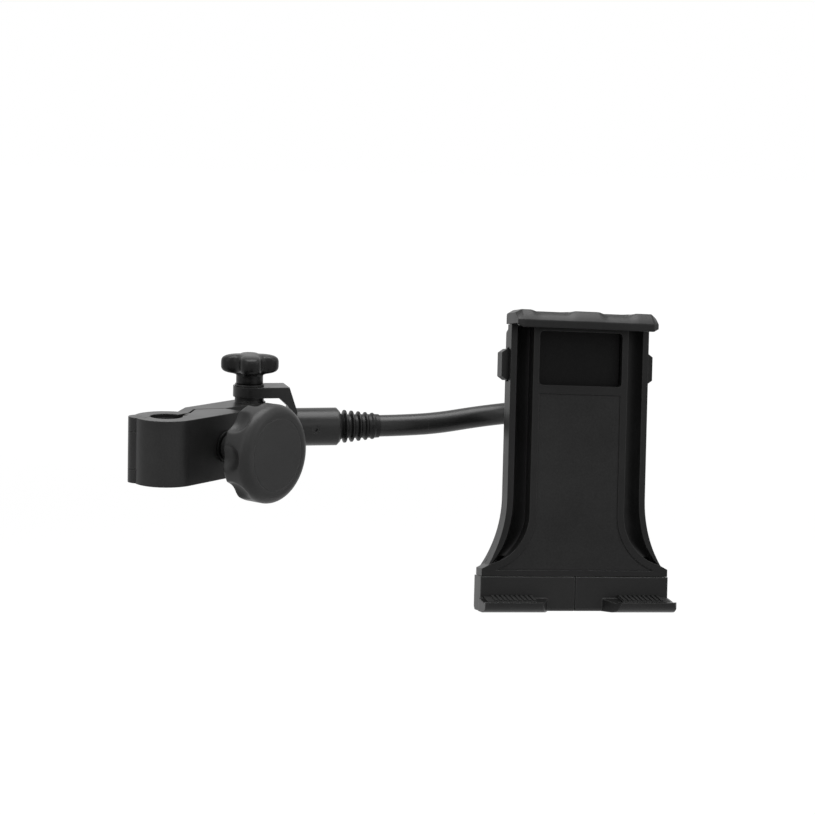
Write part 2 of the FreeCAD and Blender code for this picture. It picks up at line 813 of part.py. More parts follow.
def star_knob():
    """Star knob: a neck and rounded lobes whose arcs run into each other's valleys."""
    turned(
        "star_washer",
        ring_profile(
            size.bolt_radius + 0.2, size.boss_radius, star_washer_low, star_washer_low + size.star_washer_thickness
        ),
        SWIVEL_AXIS,
    )
    count = int(number_of(size.star_lobes))
    half_step = math.pi / count
    lobe = number_of(size.star_lobe_radius)
    place = number_of(size.star_lobe_place)
    valley = number_of(size.star_valley_radius)
    reach = lobe + valley
    valley_place = place * math.cos(half_step) + math.sqrt(reach ** 2 - (place * math.sin(half_step)) ** 2)
    corners = []
    for index in range(count):
        angle = 2 * half_step * index - math.radians(98.0)
        centre = FreeCAD.Vector(math.cos(angle), math.sin(angle), 0) * place
        for sign in (-1, 1):
            valley_angle = angle + sign * half_step
            other = FreeCAD.Vector(math.cos(valley_angle), math.sin(valley_angle), 0) * valley_place
            touch = centre + (other - centre) * (lobe / reach)
            if sign < 0:
                corners.append((touch.x, touch.y, lobe))
                tip = centre * ((place + lobe) / place)
                corners.append((tip.x, tip.y, lobe))
            else:
                corners.append((touch.x, touch.y, -valley))
    body = new_body("star_knob", SWIVEL_AXIS * shift(0.0, 0.0, star_low))
    pad(body, draw_outline(new_sketch(body, "XY_Plane", size.star_neck_height), corners), size.star_height)
    low = star_low + size.star_neck_height
    bevel(body, size.star_bevel, (low, low + size.star_height))
    second = low + size.star_height
    bevel(body, size.star_edge, (second, second - size.star_bevel))
    neck = draw_circle(new_sketch(body, "XY_Plane"), 0.0, 0.0, size.star_neck_radius)
    pad(body, neck, size.star_neck_height + 1.0)
    hole = draw_circle(new_sketch(body, "XY_Plane"), 0.0, 0.0, size.bolt_radius + size.pin_clearance)
    pocket(body, hole, size.bolt_top + ear_high - star_low + 0.5, back=True)
    finish(body, "star_knob")


# Arm

ARM_Y = SWIVEL_PLACE.y
ARM_Z = number_of(size.collar_rise)
BALL_CENTRE = CRADLE_FRAME.multVec(vector(0.0, size.ball_back, size.ball_rise))
CROOK = vector(size.crook_x, size.crook_y, size.crook_z)
ARM_END_DIRECTION = (BALL_CENTRE - CROOK).normalize()
SLEEVE_SEAT = 4.0


def bend_route(points, last_radius):
    """Straight runs joined by tangent arcs: the last has its own radius, the others as their runs allow."""
    edges = []
    here = points[0]
    radii = []
    for before, corner, after in zip(points, points[1:], points[2:]):
        first = corner - before
        second = after - corner
        angle = first.getAngle(second)
        radius = 0.46 * min(first.Length, second.Length) / math.tan(angle / 2)
        if after is points[-1]:
            radius = last_radius
        cut = radius * math.tan(angle / 2)
        start = corner - first.normalize() * cut
        end = corner + second.normalize() * cut
        inward = (second - first).normalize()
        middle = corner + inward * (radius / math.cos(angle / 2) - radius)
        edges.append(Part.LineSegment(here, start).toShape())
        edges.append(Part.Arc(start, middle, end).toShape())
        radii.append(radius)
        here = end
    edges.append(Part.LineSegment(here, points[-1]).toShape())
    return Part.Wire(edges), radii


def arm_route(start_x):
    """Centre line of the flexible arm: nearly straight out of the collar, then a crook up to the ball."""
    end = BALL_CENTRE - ARM_END_DIRECTION * (number_of(size.stud_length) + SLEEVE_SEAT)
    return [
        FreeCAD.Vector(number_of(start_x), ARM_Y, ARM_Z),
        FreeCAD.Vector(160.0, ARM_Y, ARM_Z),
        FreeCAD.Vector(190.0, ARM_Y + 4.0, ARM_Z + 0.5),
        CROOK,
        end,
    ]


def tube_along(points, outer, inner):
    wire, radii = bend_route(points, number_of(size.crook_radius))
    heading = points[1] - points[0]
    shapes = []
    for radius in (outer, inner):
        if radius <= 0:
            continue
        circle = Part.Wire(Part.makeCircle(radius, points[0], heading))
        shapes.append(wire.makePipeShell([circle], True, False))
    tube = shapes[0] if len(shapes) == 1 else shapes[0].cut(shapes[1])
    section = math.pi * (outer ** 2 - max(inner, 0) ** 2)
    print("arm tube", round(tube.Volume / (section * wire.Length), 4), [round(r, 1) for r in radii])
    return tube


def strain_relief():
    """Ribbed boot: ribs that shrink towards the arm on a tapered root."""
    count = int(number_of(size.relief_ribs))
    gap = size.sleeve_radius + size.running_gap
    start = 0.2
    pitch = (size.relief_length - 3.5) / count
    profile = [(gap, start), (size.relief_root_radius + 1.2, start)]
    for index in range(count):
        share = index / (count - 1)
        top = size.relief_rib_radius * (1 - share) + size.relief_last_rib_radius * share
        root = size.relief_root_radius
        place = pitch * index + 2.4
        profile += [
            (root, place),
            (top, place + 1.1),
            (top, place + 1.9),
            (root, place + 3.0),
        ]
    profile += [(size.relief_root_radius - 0.1, size.relief_length), (gap, size.relief_length)]
    placement = FreeCAD.Placement(
        FreeCAD.Vector(number_of(size.collar_end), ARM_Y, ARM_Z), FreeCAD.Rotation(FreeCAD.Vector(0, 1, 0), 90)
    )
    turned("strain_relief", profile, placement)


def arm_pieces():
    ferrule_place = FreeCAD.Placement(
        FreeCAD.Vector(number_of(size.ferrule_start), ARM_Y, ARM_Z),
        FreeCAD.Rotation(FreeCAD.Vector(0, 1, 0), 90),
    )
    length = size.collar_end - size.ferrule_start
    bore_radius = size.core_radius + size.running_gap
    ferrule = [
        (0.0, 0.0),
        (size.ferrule_radius, 0.0),
        (size.ferrule_radius, length),
        (bore_radius, length),
        (bore_radius, 2.0),
        (0.0, 2.0),
    ]
    turned("collar_ferrule", ferrule, ferrule_place)
    grub_place = FreeCAD.Placement(
        FreeCAD.Vector(number_of(size.set_screw_place), ARM_Y, ARM_Z),
        FreeCAD.Rotation(FreeCAD.Vector(1, 0, 0), 90),
    )
    top = size.collar_radius - 0.5
    grub = [
        (0.0, size.ferrule_radius),
        (size.set_screw_radius, size.ferrule_radius),
        (size.set_screw_radius, top),
        (1.3, top),
        (1.3, top - 1.6),
        (0.0, top - 1.6),
    ]
    turned("set_screw", grub, grub_place)
    strain_relief()
    outer = number_of(size.sleeve_radius)
    inner = number_of(size.core_radius)
    sleeve_start = number_of(size.collar_end) + 0.5
    solid("gooseneck_sleeve", tube_along(arm_route(sleeve_start), outer, inner))
    core_start = number_of(size.ferrule_start) + 2.3
    solid("gooseneck_core", tube_along(arm_route(core_start), inner, 0.0))


STUD_AXIS = FreeCAD.Placement(
    BALL_CENTRE, FreeCAD.Rotation(FreeCAD.Vector(0, 0, 1), ARM_END_DIRECTION * -1)
)


def tip_pieces():
    """End ferrule of the arm with the ball stud; z runs from the ball back along the arm."""
    start = size.stud_length
    end = start + size.ferrule_end_length
    bore_radius = size.sleeve_radius + size.running_gap
    outer = bore_radius + 1.4
    ferrule = [
        (size.stud_radius, start),
        (outer - 1.6, start),
        (outer, start + 1.6),
        (outer, end - 0.8),
        (outer - 0.8, end),
        (bore_radius, end),
        (bore_radius, start + 3.7),
        (size.stud_radius, start + 3.7),
    ]
    turned("end_ferrule", ferrule, STUD_AXIS)
    neck_start = math.sqrt(number_of(size.ball_radius) ** 2 - number_of(size.stud_radius) ** 2)
    stud = [
        (0.0, -size.ball_radius, size.ball_radius),
        (size.ball_radius, 0.0, size.ball_radius),
        (size.stud_radius, neck_start),
        (size.stud_radius, start + 3.7),
        (0.0, start + 3.7),
    ]
    turned("ball_stud", stud, STUD_AXIS)


# Ball socket and cradle

SOCKET_AXIS = CRADLE_FRAME * shift(0.0, 0.0, size.ball_rise) * turn((1, 0, 0), -90.0)
cup_radius = size.ball_radius + size.pin_clearance


def lock_ring():
    """Ring that closes the ball socket: z is the cradle's own depth, from the front face back."""
    centre = size.ball_back
    mouth = of_angle("sin", size.ball_grip_angle)
    depth = of_angle("cos", size.ball_grip_angle)
    inner = size.socket_radius + size.pin_clearance
    outer = size.lock_ring_radius
    body = new_body("lock_ring", SOCKET_AXIS)
    profile = [
        (inner, centre - 8.5),
        (outer - 0.8, centre - 8.5),
        (outer, centre - 7.7),
        (outer, centre + 3.2),
        (outer - 3.0, centre + 6.0),
        (cup_radius * mouth + 1.2, centre + 6.0),
        (cup_radius * mouth, centre + cup_radius * depth, -cup_radius),
        (cup_radius, centre),
        (inner, centre),
    ]
    revolve(body, draw_outline(new_sketch(body, "XZ_Plane"), profile))
    before = volume_of(body)
    notch = draw_circle(
        new_sketch(body, "XY_Plane", centre - 9.5), size.lock_ring_radius + 2.6, 0.0, 3.6
    )
    cut = pocket(body, notch, 18.0, back=True)
    pattern = body.newObject("PartDesign::PolarPattern", "ring_flutes")
    pattern.Originals = [cut]
    axis = [f for f in body.Origin.OriginFeatures if f.Role == "Z_Axis"][0]
    pattern.Axis = (axis, [""])
    pattern.Angle = 360.0
    pattern.Occurrences = 10
    body.Tip = pattern
    check_volume(body, before, False)
    finish(body, "lock_ring")


def flared_side(x_top, z_top, x_bottom, z_bottom):
    """Radius of the arc that leaves a vertical side and reaches the wider bottom."""
    drop = number_of(z_top) - number_of(z_bottom)
    spread = number_of(x_bottom) - number_of(x_top)
    return (drop ** 2 + spread ** 2) / (2 * spread)


def trunk_half(inset):
    """Right side of the trunk's outline from the bottom up, moved in by the inset."""
    low = -size.trunk_bottom + inset
    wide = size.base_half_width - inset
    side = size.rim_half_width - inset
    radius = flared_side(side, -size.rim_flare_start, wide, low)
    return [(wide, low, radius * -1.0), (side, -size.rim_flare_start), (side, size.trunk_top - inset)]


def mirrored_outline(right):
    """Closes an outline about the middle: right side upwards, then the same down the left."""
    left = []
    for index in range(len(right) - 1, -1, -1):
        x, z = right[index][0], right[index][1]
        arc = right[index - 1][2] if index > 0 and len(right[index - 1]) == 3 else None
        left.append((-x, z) if arc is None else (-x, z, arc))
    return list(right) + left


def spine_half(inset):
    """Right side of the raised spine: straight, then flaring out like a foot."""
    side = size.spine_half_width - inset
    radius = size.spine_flare_radius + inset
    centre_x = size.spine_half_width + size.spine_flare_radius
    centre_z = -size.spine_flare_start
    low = -size.trunk_bottom if inset == 0 else -size.pad_bottom
    if inset == 0:
        angle = math.radians(76.0)
        foot = (centre_x - radius * math.cos(angle), centre_z - radius * math.sin(angle))
        edge = size.base_half_width
        return [(edge, low), (edge, foot[1] - 3.0), (foot[0], foot[1], radius * -1.0), (side, centre_z),
                (side, size.trunk_top)]
    rise = number_of(size.pad_bottom - size.spine_flare_start)
    reach = math.sqrt(max(number_of(radius) ** 2 - rise ** 2, 0.0))
    return [(centre_x - reach, low, radius * -1.0), (side, centre_z), (side, size.pad_top)]


def wing_section(level):
    """Closed section of one wing at a height: cove, rim, side wall and flat back."""
    z = number_of(level)
    flare_start = -number_of(size.rim_flare_start)
    outer = number_of(size.rim_half_width)
    inner = number_of(size.spine_half_width)
    radius = flared_side(size.rim_half_width, -size.rim_flare_start, size.base_half_width, -size.trunk_bottom)
    if z < flare_start:
        outer += radius - math.sqrt(radius ** 2 - (flare_start - z) ** 2)
    spine_start = -number_of(size.spine_flare_start)
    spine_radius = number_of(size.spine_flare_radius)
    if z < spine_start:
        drop = min(spine_start - z, spine_radius * 0.98)
        inner += spine_radius - math.sqrt(spine_radius ** 2 - drop ** 2)
    width = outer - inner
    share = min(width / (number_of(size.rim_half_width) - number_of(size.spine_half_width)), 1.0)
    front = number_of(size.rim_set_back) * max(share, 0.15)
    floor = front + (number_of(size.cove_depth) - front) * max(share, 0.12) ** 1.2
    flat = max(number_of(size.rim_flat) * share, 0.3)
    rim = outer - flat
    back = number_of(size.front_thickness)
    root = number_of(size.spine_half_width) - 6.0
    start = FreeCAD.Vector(min(inner, rim - 0.6), floor, z)
    end = FreeCAD.Vector(rim, front, z)
    chord = end - start
    bulge = FreeCAD.Vector(-chord.y, chord.x, 0).normalize() * chord.Length * 0.19
    middle = (start + end) * 0.5 + (bulge if bulge.y > 0 else bulge * -1)
    low = FreeCAD.Vector(root, floor, z)
    side_front = FreeCAD.Vector(outer, front, z)
    side_back = FreeCAD.Vector(outer, back - 3.0, z)
    edge_back = FreeCAD.Vector(outer - 3.0, back, z)
    root_back = FreeCAD.Vector(root, back, z)
    return Part.Wire([
        Part.LineSegment(low, start).toShape(),
        Part.Arc(start, middle, end).toShape(),
        Part.LineSegment(end, side_front).toShape(),
        Part.LineSegment(side_front, side_back).toShape(),
        Part.LineSegment(side_back, edge_back).toShape(),
        Part.LineSegment(edge_back, root_back).toShape(),
        Part.LineSegment(root_back, low).toShape(),
    ])


def block(low_x, low_y, low_z, high_x, high_y, high_z):
    low = vector(low_x, low_y, low_z)
    high = vector(high_x, high_y, high_z)
    return Part.makeBox(high.x - low.x, high.y - low.y, high.z - low.z, low)


def mirror_x(shape):
    return shape.mirror(FreeCAD.Vector(), FreeCAD.Vector(1, 0, 0))


def plate(corners, low_y, high_y):
    """Solid between two depths with a closed outline in the cradle's x and z."""
    edges = []
    count = len(corners)
    for index, corner in enumerate(corners):
        following = corners[(index + 1) % count]
        start = vector(corner[0], corner[1], 0)
        end = vector(following[0], following[1], 0)
        if len(corner) == 2:
            edges.append(Part.LineSegment(start, end).toShape())
            continue
        radius = number_of(corner[2])
        centre = arc_centre(start, end, radius)
        middle = (start + end) * 0.5 - centre
        middle = centre + middle.normalize() * abs(radius)
        edges.append(Part.Arc(start, middle, end).toShape())
    face = Part.Face(Part.Wire(edges))
    made = face.extrude(FreeCAD.Vector(0, 0, number_of(high_y) - number_of(low_y)))
    made.rotate(FreeCAD.Vector(), FreeCAD.Vector(1, 0, 0), 90)
    made.translate(FreeCAD.Vector(0, number_of(high_y), 0))
    return made


slide_front = size.pad_seat + size.front_wall + size.seat_gap
rail_low = -size.trunk_bottom
rail_top = rail_low + 12.0
RAIL_FRONT = 6.0
RAIL_BACK = 9.0
BEAD_FRONT = 4.4
BEAD_BACK = 10.6
BEAD_DROP = 3.0
RAIL_INNER = 4.0
RAIL_OUTER = 34.0
FOOT_TRAVEL = 18.0
notch_low = size.button_centre - size.button_height / 2 - 0.8
notch_high = size.button_centre + size.button_height / 2 + 0.8
BUTTON_FRONT = 5.6
STEM_FRONT = 12.4
STEM_BACK = 15.2
TAB_INNER = size.rim_half_width - 1.9
PAWL_TIP = size.rack_half_width + size.running_gap
PAWL_BACK = PAWL_TIP + 2.4
screw_places = [(36.0, 53.0), (36.0, -12.0), (38.0, -66.0)]


def cradle_front():
    """Front shell: spine with its ridge, seat and window, two coved wings and a flared foot."""
    gap = size.running_gap
    shape = plate(mirrored_outline(spine_half(0)), 0.0, size.front_thickness)
    straight_low = -number_of(size.rim_flare_start)
    top = number_of(size.trunk_top)
    straight = Part.makeLoft([wing_section(straight_low), wing_section(top)], True, True)
    bottom = -number_of(size.trunk_bottom)
    steps = 7
    span = straight_low - bottom
    sections = [wing_section(straight_low - span * 0.88 * i / steps) for i in range(steps + 1)]
    flared = Part.makeLoft(sections, True, False)
    for wing in (straight, flared):
        shape = shape.fuse([wing, mirror_x(wing)])
    shape = shape.removeSplitter()
    seat = plate(mirrored_outline(spine_half(size.ridge_width)), -1.0, size.pad_seat)
    window = block(
        -size.window_half_width, -1.0, size.window_bottom, size.window_half_width, 6.0, size.window_top
    )
    upright = [e for e in window.Edges if e.BoundBox.YLength > 6.0]
    window = window.makeFillet(2.5, upright)
    cavity = block(
        -size.cavity_half_width,
        slide_front - size.seat_gap,
        rail_top + 3.0,
        size.cavity_half_width,
        size.front_thickness + 1.0,
        size.trunk_top - 2.5,
    )
    throat = block(
        -(size.slide_half_width + gap),
        slide_front - gap,
        size.trunk_top - 3.0,
        size.slide_half_width + gap,
        slide_front + size.slide_thickness + gap,
        size.trunk_top + 1.0,
    )
    reach = RAIL_OUTER + FOOT_TRAVEL + number_of(gap)
    slot = block(-reach, RAIL_FRONT - gap, rail_low - 1.0, reach, RAIL_BACK + gap, rail_top + gap)
    bead = block(
        -reach, BEAD_FRONT - gap, rail_top - BEAD_DROP - gap, reach, BEAD_BACK + gap, rail_top + gap
    )
    shape = shape.cut([seat, window, cavity, throat, slot, bead])
    for side in (1, -1):
        notch = block(
            TAB_INNER - size.button_travel - 0.4,
            BUTTON_FRONT - gap,
            notch_low,
            size.rim_half_width + 8.0,
            size.front_thickness + 1.0,
            notch_high,
        )
        shape = shape.cut(notch if side > 0 else mirror_x(notch))
        relief = block(
            size.rack_half_width,
            slide_front,
            number_of(size.button_centre) - 5.2,
            PAWL_BACK + size.button_travel + 0.3,
            size.front_thickness + 1.0,
            number_of(size.button_centre) + 5.2,
        )
        shape = shape.cut(relief if side > 0 else mirror_x(relief))
        for x, z in screw_places:
            hole = Part.makeCylinder(
                SCREW_RADIUS, 6.0, FreeCAD.Vector(side * x, number_of(size.front_thickness) - 2.0, z),
                FreeCAD.Vector(0, 1, 0),
            )
            shape = shape.cut(hole)
    solid("cradle_front", shape.removeSplitter(), CRADLE_FRAME)


SCREW_RADIUS = 1.4
SCREW_HEAD = 2.8
SPRING_FLANGE = size.rim_half_width - 4.1
SPRING_STOP = SPRING_FLANGE - 6.6
SPRING_RADIUS = 1.9
SPRING_RISE = 6.9


def lies_at_depth(edge, depth):
    """True for an edge that lies whole at one depth of the cradle's frame."""
    return edge.BoundBox.YLength < 0.01 and abs(edge.BoundBox.YMin - depth) < 0.01


def cradle_back():
    """Rear cover: shell with screw posts, slide guides, spring stops and the ball socket."""
    front = number_of(size.front_thickness)
    back = front + number_of(size.cover_thickness)
    inset = size.cover_inset
    shape = plate(mirrored_outline(trunk_half(inset)), front, back)
    top_corners = [e for e in shape.Edges if e.BoundBox.YLength > 7.0 and e.BoundBox.ZMin > 50.0]
    shape = shape.makeFillet(4.0, top_corners)
    rim = [e for e in shape.Edges if lies_at_depth(e, back) and e.BoundBox.ZMax > -90.0]
    shape = shape.makeFillet(2.5, rim)
    inside = inset + size.cover_wall
    hollow = plate(mirrored_outline(trunk_half(inside)), front - 1.0, back - number_of(size.cover_wall))
    lower_wall = block(-70, front - 1, -100, 70, back, number_of(rail_top) + 3.0)
    shape = shape.cut(hollow.cut(lower_wall))
    ball = BALL_LOCAL
    boss = Part.makeCylinder(
        number_of(size.socket_radius), number_of(size.ball_back - size.seat_gap) - back + 1.0,
        FreeCAD.Vector(0, back - 1.0, ball.z), FreeCAD.Vector(0, 1, 0),
    )
    floor = Part.makeCylinder(
        number_of(size.socket_radius) + 2.0, back - 16.4, FreeCAD.Vector(0, 16.4, ball.z), FreeCAD.Vector(0, 1, 0)
    )
    shape = shape.fuse([boss, floor])
    cup = Part.makeSphere(number_of(cup_radius), ball)
    shape = shape.cut(cup)
    guide_low = number_of(slide_front + size.slide_thickness + size.running_gap)
    pieces = []
    for side in (1, -1):
        for low, high in ((-58.0, 20.0), (49.0, 58.0)):
            rib = block(14.0, guide_low, low, 17.0, back - 1.0, high)
            pieces.append(rib if side > 0 else mirror_x(rib))
        for x, z in screw_places:
            pieces.append(Part.makeCylinder(
                SCREW_HEAD + 1.2, back - front - 0.5, FreeCAD.Vector(side * x, front, z), FreeCAD.Vector(0, 1, 0)
            ))
        stop = block(
            SPRING_STOP - 1.6, front, spring_z(side) - 2.0, SPRING_STOP, back - 1.0, spring_z(side) + 2.0
        )
        pieces.append(stop if side > 0 else mirror_x(stop))
    shape = shape.fuse(pieces)
    for side in (1, -1):
        notch = block(
            size.rim_half_width - 5.2, front - 1.0, notch_low, size.rim_half_width + 8.0, 15.6, notch_high
        )
        shape = shape.cut(notch if side > 0 else mirror_x(notch))
        for x, z in screw_places:
            hole = Part.makeCylinder(
                SCREW_RADIUS, 20.0, FreeCAD.Vector(side * x, front - 1, z), FreeCAD.Vector(0, 1, 0)
            )
            sink = Part.makeCylinder(
                SCREW_HEAD, 5.0, FreeCAD.Vector(side * x, back - 1.9, z), FreeCAD.Vector(0, 1, 0)
            )
            shape = shape.cut([hole, sink])
    solid("cradle_back", shape.removeSplitter(), CRADLE_FRAME)


BALL_LOCAL = vector(0.0, size.ball_back, size.ball_rise)


def spring_z(side):
    """The left and right springs sit above and below the crossing stems."""
    return number_of(size.button_centre) + side * SPRING_RISE


def round_screws(name, places, tip, seat, placement):
    """Pan head screws along the cradle's depth: tip and seat are depths of the end and the head."""
    shapes = []
    for x, z in places:
        shank = Part.makeCylinder(SCREW_RADIUS, seat - tip, FreeCAD.Vector(x, tip, z), FreeCAD.Vector(0, 1, 0))
        head = Part.makeCylinder(SCREW_HEAD - 0.1, 1.6, FreeCAD.Vector(x, seat, z), FreeCAD.Vector(0, 1, 0))
        cross = block(x - 1.5, seat + 0.8, z - 0.35, x + 1.5, seat + 2, z + 0.35)
        shapes.append(shank.fuse(head).removeSplitter().cut(cross))
    solid(name, Part.makeCompound(shapes), placement)


def grip_pad():
    front = size.pad_seat - size.pad_thickness
    clear = size.ridge_width + size.seat_gap
    corners = mirrored_outline(spine_half(clear))
    shape = plate(corners, front, size.pad_seat)
    low = block(-80, -1, -200, 80, 5, -size.pad_bottom + size.seat_gap)
    high = block(-80, -1, size.pad_top - size.seat_gap, 80, 5, 100)
    solid("grip_pad", shape.cut([low, high]), CRADLE_FRAME)


def top_slide():
    """Slide plate: a plain face that fills the window, on a rack with ratchet teeth down both edges."""
    rack = size.rack_half_width
    depth = number_of(size.tooth_depth)
    pitch = number_of(size.tooth_pitch)
    front = slide_front
    middle = front + size.slide_face
    back = front + size.slide_thickness
    bottom = -size.slide_bottom
    top = size.trunk_top + size.running_gap + 6.0
    face = block(-size.slide_half_width, front, bottom, size.slide_half_width, middle, size.trunk_top - 1.5)
    shape = face.fuse(block(-rack, front, bottom, rack, back, top)).removeSplitter()
    first = number_of(size.button_centre) - 0.5 - pitch * (number_of(size.tooth_count) - 2)
    edge = number_of(rack)
    cuts = []
    for index in range(int(number_of(size.tooth_count))):
        low = first + pitch * index
        end = low + pitch * 0.8
        corners = [(edge + 1.0, low), (edge - depth, low), (edge, end), (edge + 1.0, end)]
        tooth = plate(corners, middle, back + 1.0)
        cuts += [tooth, mirror_x(tooth)]
    for x in JAW_SCREWS:
        cuts.append(Part.makeCylinder(
            SCREW_RADIUS, 8.0, vector(x, front + 1.0, top - 3.0), FreeCAD.Vector(0, 1, 0)
        ))
    solid("top_slide", shape.cut(cuts), CRADLE_FRAME)


JAW_SCREWS = (-18.0, 18.0)
jaw_low = size.trunk_top + size.running_gap
jaw_high = jaw_low + size.jaw_block_height


def side_profile(corners, low_x, high_x):
    """Solid along x from a closed outline of (y, z) corners, with arcs as in other outlines."""
    edges = []
    count = len(corners)
    for index, corner in enumerate(corners):
        following = corners[(index + 1) % count]
        start = vector(corner[0], corner[1], 0)
        end = vector(following[0], following[1], 0)
        if len(corner) == 2:
            edges.append(Part.LineSegment(start, end).toShape())
            continue
        radius = number_of(corner[2])
        centre = arc_centre(start, end, radius)
        middle = centre + ((start + end) * 0.5 - centre).normalize() * abs(radius)
        edges.append(Part.Arc(start, middle, end).toShape())
    made = Part.Face(Part.Wire(edges)).extrude(FreeCAD.Vector(0, 0, number_of(high_x) - number_of(low_x)))
    frame = FreeCAD.Matrix(0, 0, 1, number_of(low_x), 1, 0, 0, 0, 0, 1, 0, 0, 0, 0, 0, 1)
    return made.transformed(frame)


def top_jaw():
    """Jaw block with a sloping brow, a front lip that hangs down and two shallow dips on top."""
    half = size.jaw_half_width
    face_top = jaw_low - size.jaw_lip_drop + size.jaw_face_height
    profile = [
        (-size.jaw_front, jaw_low - size.jaw_lip_drop),
        (-size.jaw_front + size.jaw_lip_thickness, jaw_low - size.jaw_lip_drop),
        (-size.jaw_front + size.jaw_lip_thickness + 0.8, jaw_low),
        (size.jaw_back, jaw_low),
        (size.jaw_back, jaw_high - 2.5),
        (size.jaw_back - 2.5, jaw_high),
        (-size.jaw_front + size.jaw_brow_depth, jaw_high, size.jaw_brow_radius),
        (-size.jaw_front, face_top),
    ]
    shape = side_profile(profile, -half, half)
    corners = [e for e in shape.Edges if abs(e.BoundBox.XLength) < 0.01
               and abs(e.BoundBox.YMin + number_of(size.jaw_front)) < 0.01 and e.BoundBox.YLength < 0.01]
    shape = shape.makeFillet(number_of(size.jaw_corner_radius), corners)
    dip = number_of(size.jaw_dip)
    for low, high in ((-38.0, -7.4), (7.4, 34.0)):
        shape = shape.cut(block(low, -9.5, jaw_high - dip, high, 7.5, jaw_high + 2))
    front = slide_front
    pocket_shape = block(
        -size.rack_half_width, front, jaw_low - 1.0, size.rack_half_width,
        front + size.slide_thickness, jaw_low + 6.0,
    )
    cuts = [pocket_shape]
    level = number_of(jaw_low) + 3.0
    for x in JAW_SCREWS:
        cuts.append(Part.makeCylinder(SCREW_RADIUS, 20, FreeCAD.Vector(x, 5.0, level), FreeCAD.Vector(0, 1, 0)))
        cuts.append(Part.makeCylinder(
            SCREW_HEAD, 5, FreeCAD.Vector(x, number_of(size.jaw_back) - 1.8, level), FreeCAD.Vector(0, 1, 0)
        ))
    solid("top_jaw", shape.cut(cuts), CRADLE_FRAME)
    pad_half = number_of(half) - 6.0
    strip = block(
        -pad_half, -size.jaw_front + size.jaw_lip_thickness + 1.0, jaw_low - 1.2, pad_half, -0.8, jaw_low
    )
    grooves = []
    for index in range(12):
        place = -pad_half + pad_half * 2 * (index + 0.5) / 12
        grooves.append(block(place - 0.7, -20, jaw_low - 1.6, place + 0.7, 1, jaw_low - 0.6))
    solid("jaw_pad", strip.cut(grooves), CRADLE_FRAME)


def button(name, side):
    """Release button: tab outside, stem across behind the slide, pawl on the far rack."""
    centre = number_of(size.button_centre)
    half = number_of(size.button_height) / 2
    rim = number_of(size.rim_half_width)
    reach = number_of(size.button_reach)
    inner = rim - 3.6
    tab = plate(
        [(inner, centre - half), (rim + 1.2, centre - half), (reach, centre - half + 2.4),
         (reach, centre + half - 2.4), (rim + 1.2, centre + half), (inner, centre + half)],
        BUTTON_FRONT + 0.3, STEM_BACK,
    )
    tab = tab.cut(block(inner - 1, 0, 0, TAB_INNER, STEM_FRONT, 80))
    stem_low = centre + 0.4 if side > 0 else centre - 4.6
    pawl_front = number_of(slide_front + size.slide_face + size.running_gap)
    stem = block(-PAWL_BACK, STEM_FRONT, stem_low, inner + 1, STEM_BACK, stem_low + 4.2)
    blade = block(-PAWL_BACK, pawl_front, stem_low, -(PAWL_TIP + 0.8), STEM_BACK, stem_low + 4.2)
    tip = plate(
        [(-(PAWL_TIP + 1.0), stem_low + 0.6), (-PAWL_TIP, stem_low + 1.0), (-(PAWL_TIP + 1.0), stem_low + 3.2)],
        pawl_front, number_of(slide_front + size.slide_thickness) - 0.5,
    )
    flange_z = spring_z(side)
    flange = block(SPRING_FLANGE, STEM_FRONT, flange_z - 2.6, inner + 1.0, STEM_BACK, flange_z + 2.6)
    shape = tab.fuse([stem, blade, tip, flange]).removeSplitter()
    if side < 0:
        shape = mirror_x(shape)
    solid(name, shape, CRADLE_FRAME)


def button_spring(name, side):
    """Hidden return spring, as the plain sleeve that its coils fill."""
    low = number_of(SPRING_STOP) + 0.1
    length = number_of(SPRING_FLANGE) - 0.1 - low
    base = FreeCAD.Vector(low, 14.6, spring_z(side))
    along = FreeCAD.Vector(1, 0, 0)
    outer = Part.makeCylinder(SPRING_RADIUS, length, base, along)
    coil = outer.cut(Part.makeCylinder(SPRING_RADIUS - 0.4, length, base, along))
    if side < 0:
        coil = mirror_x(coil)
    solid(name, coil, CRADLE_FRAME)


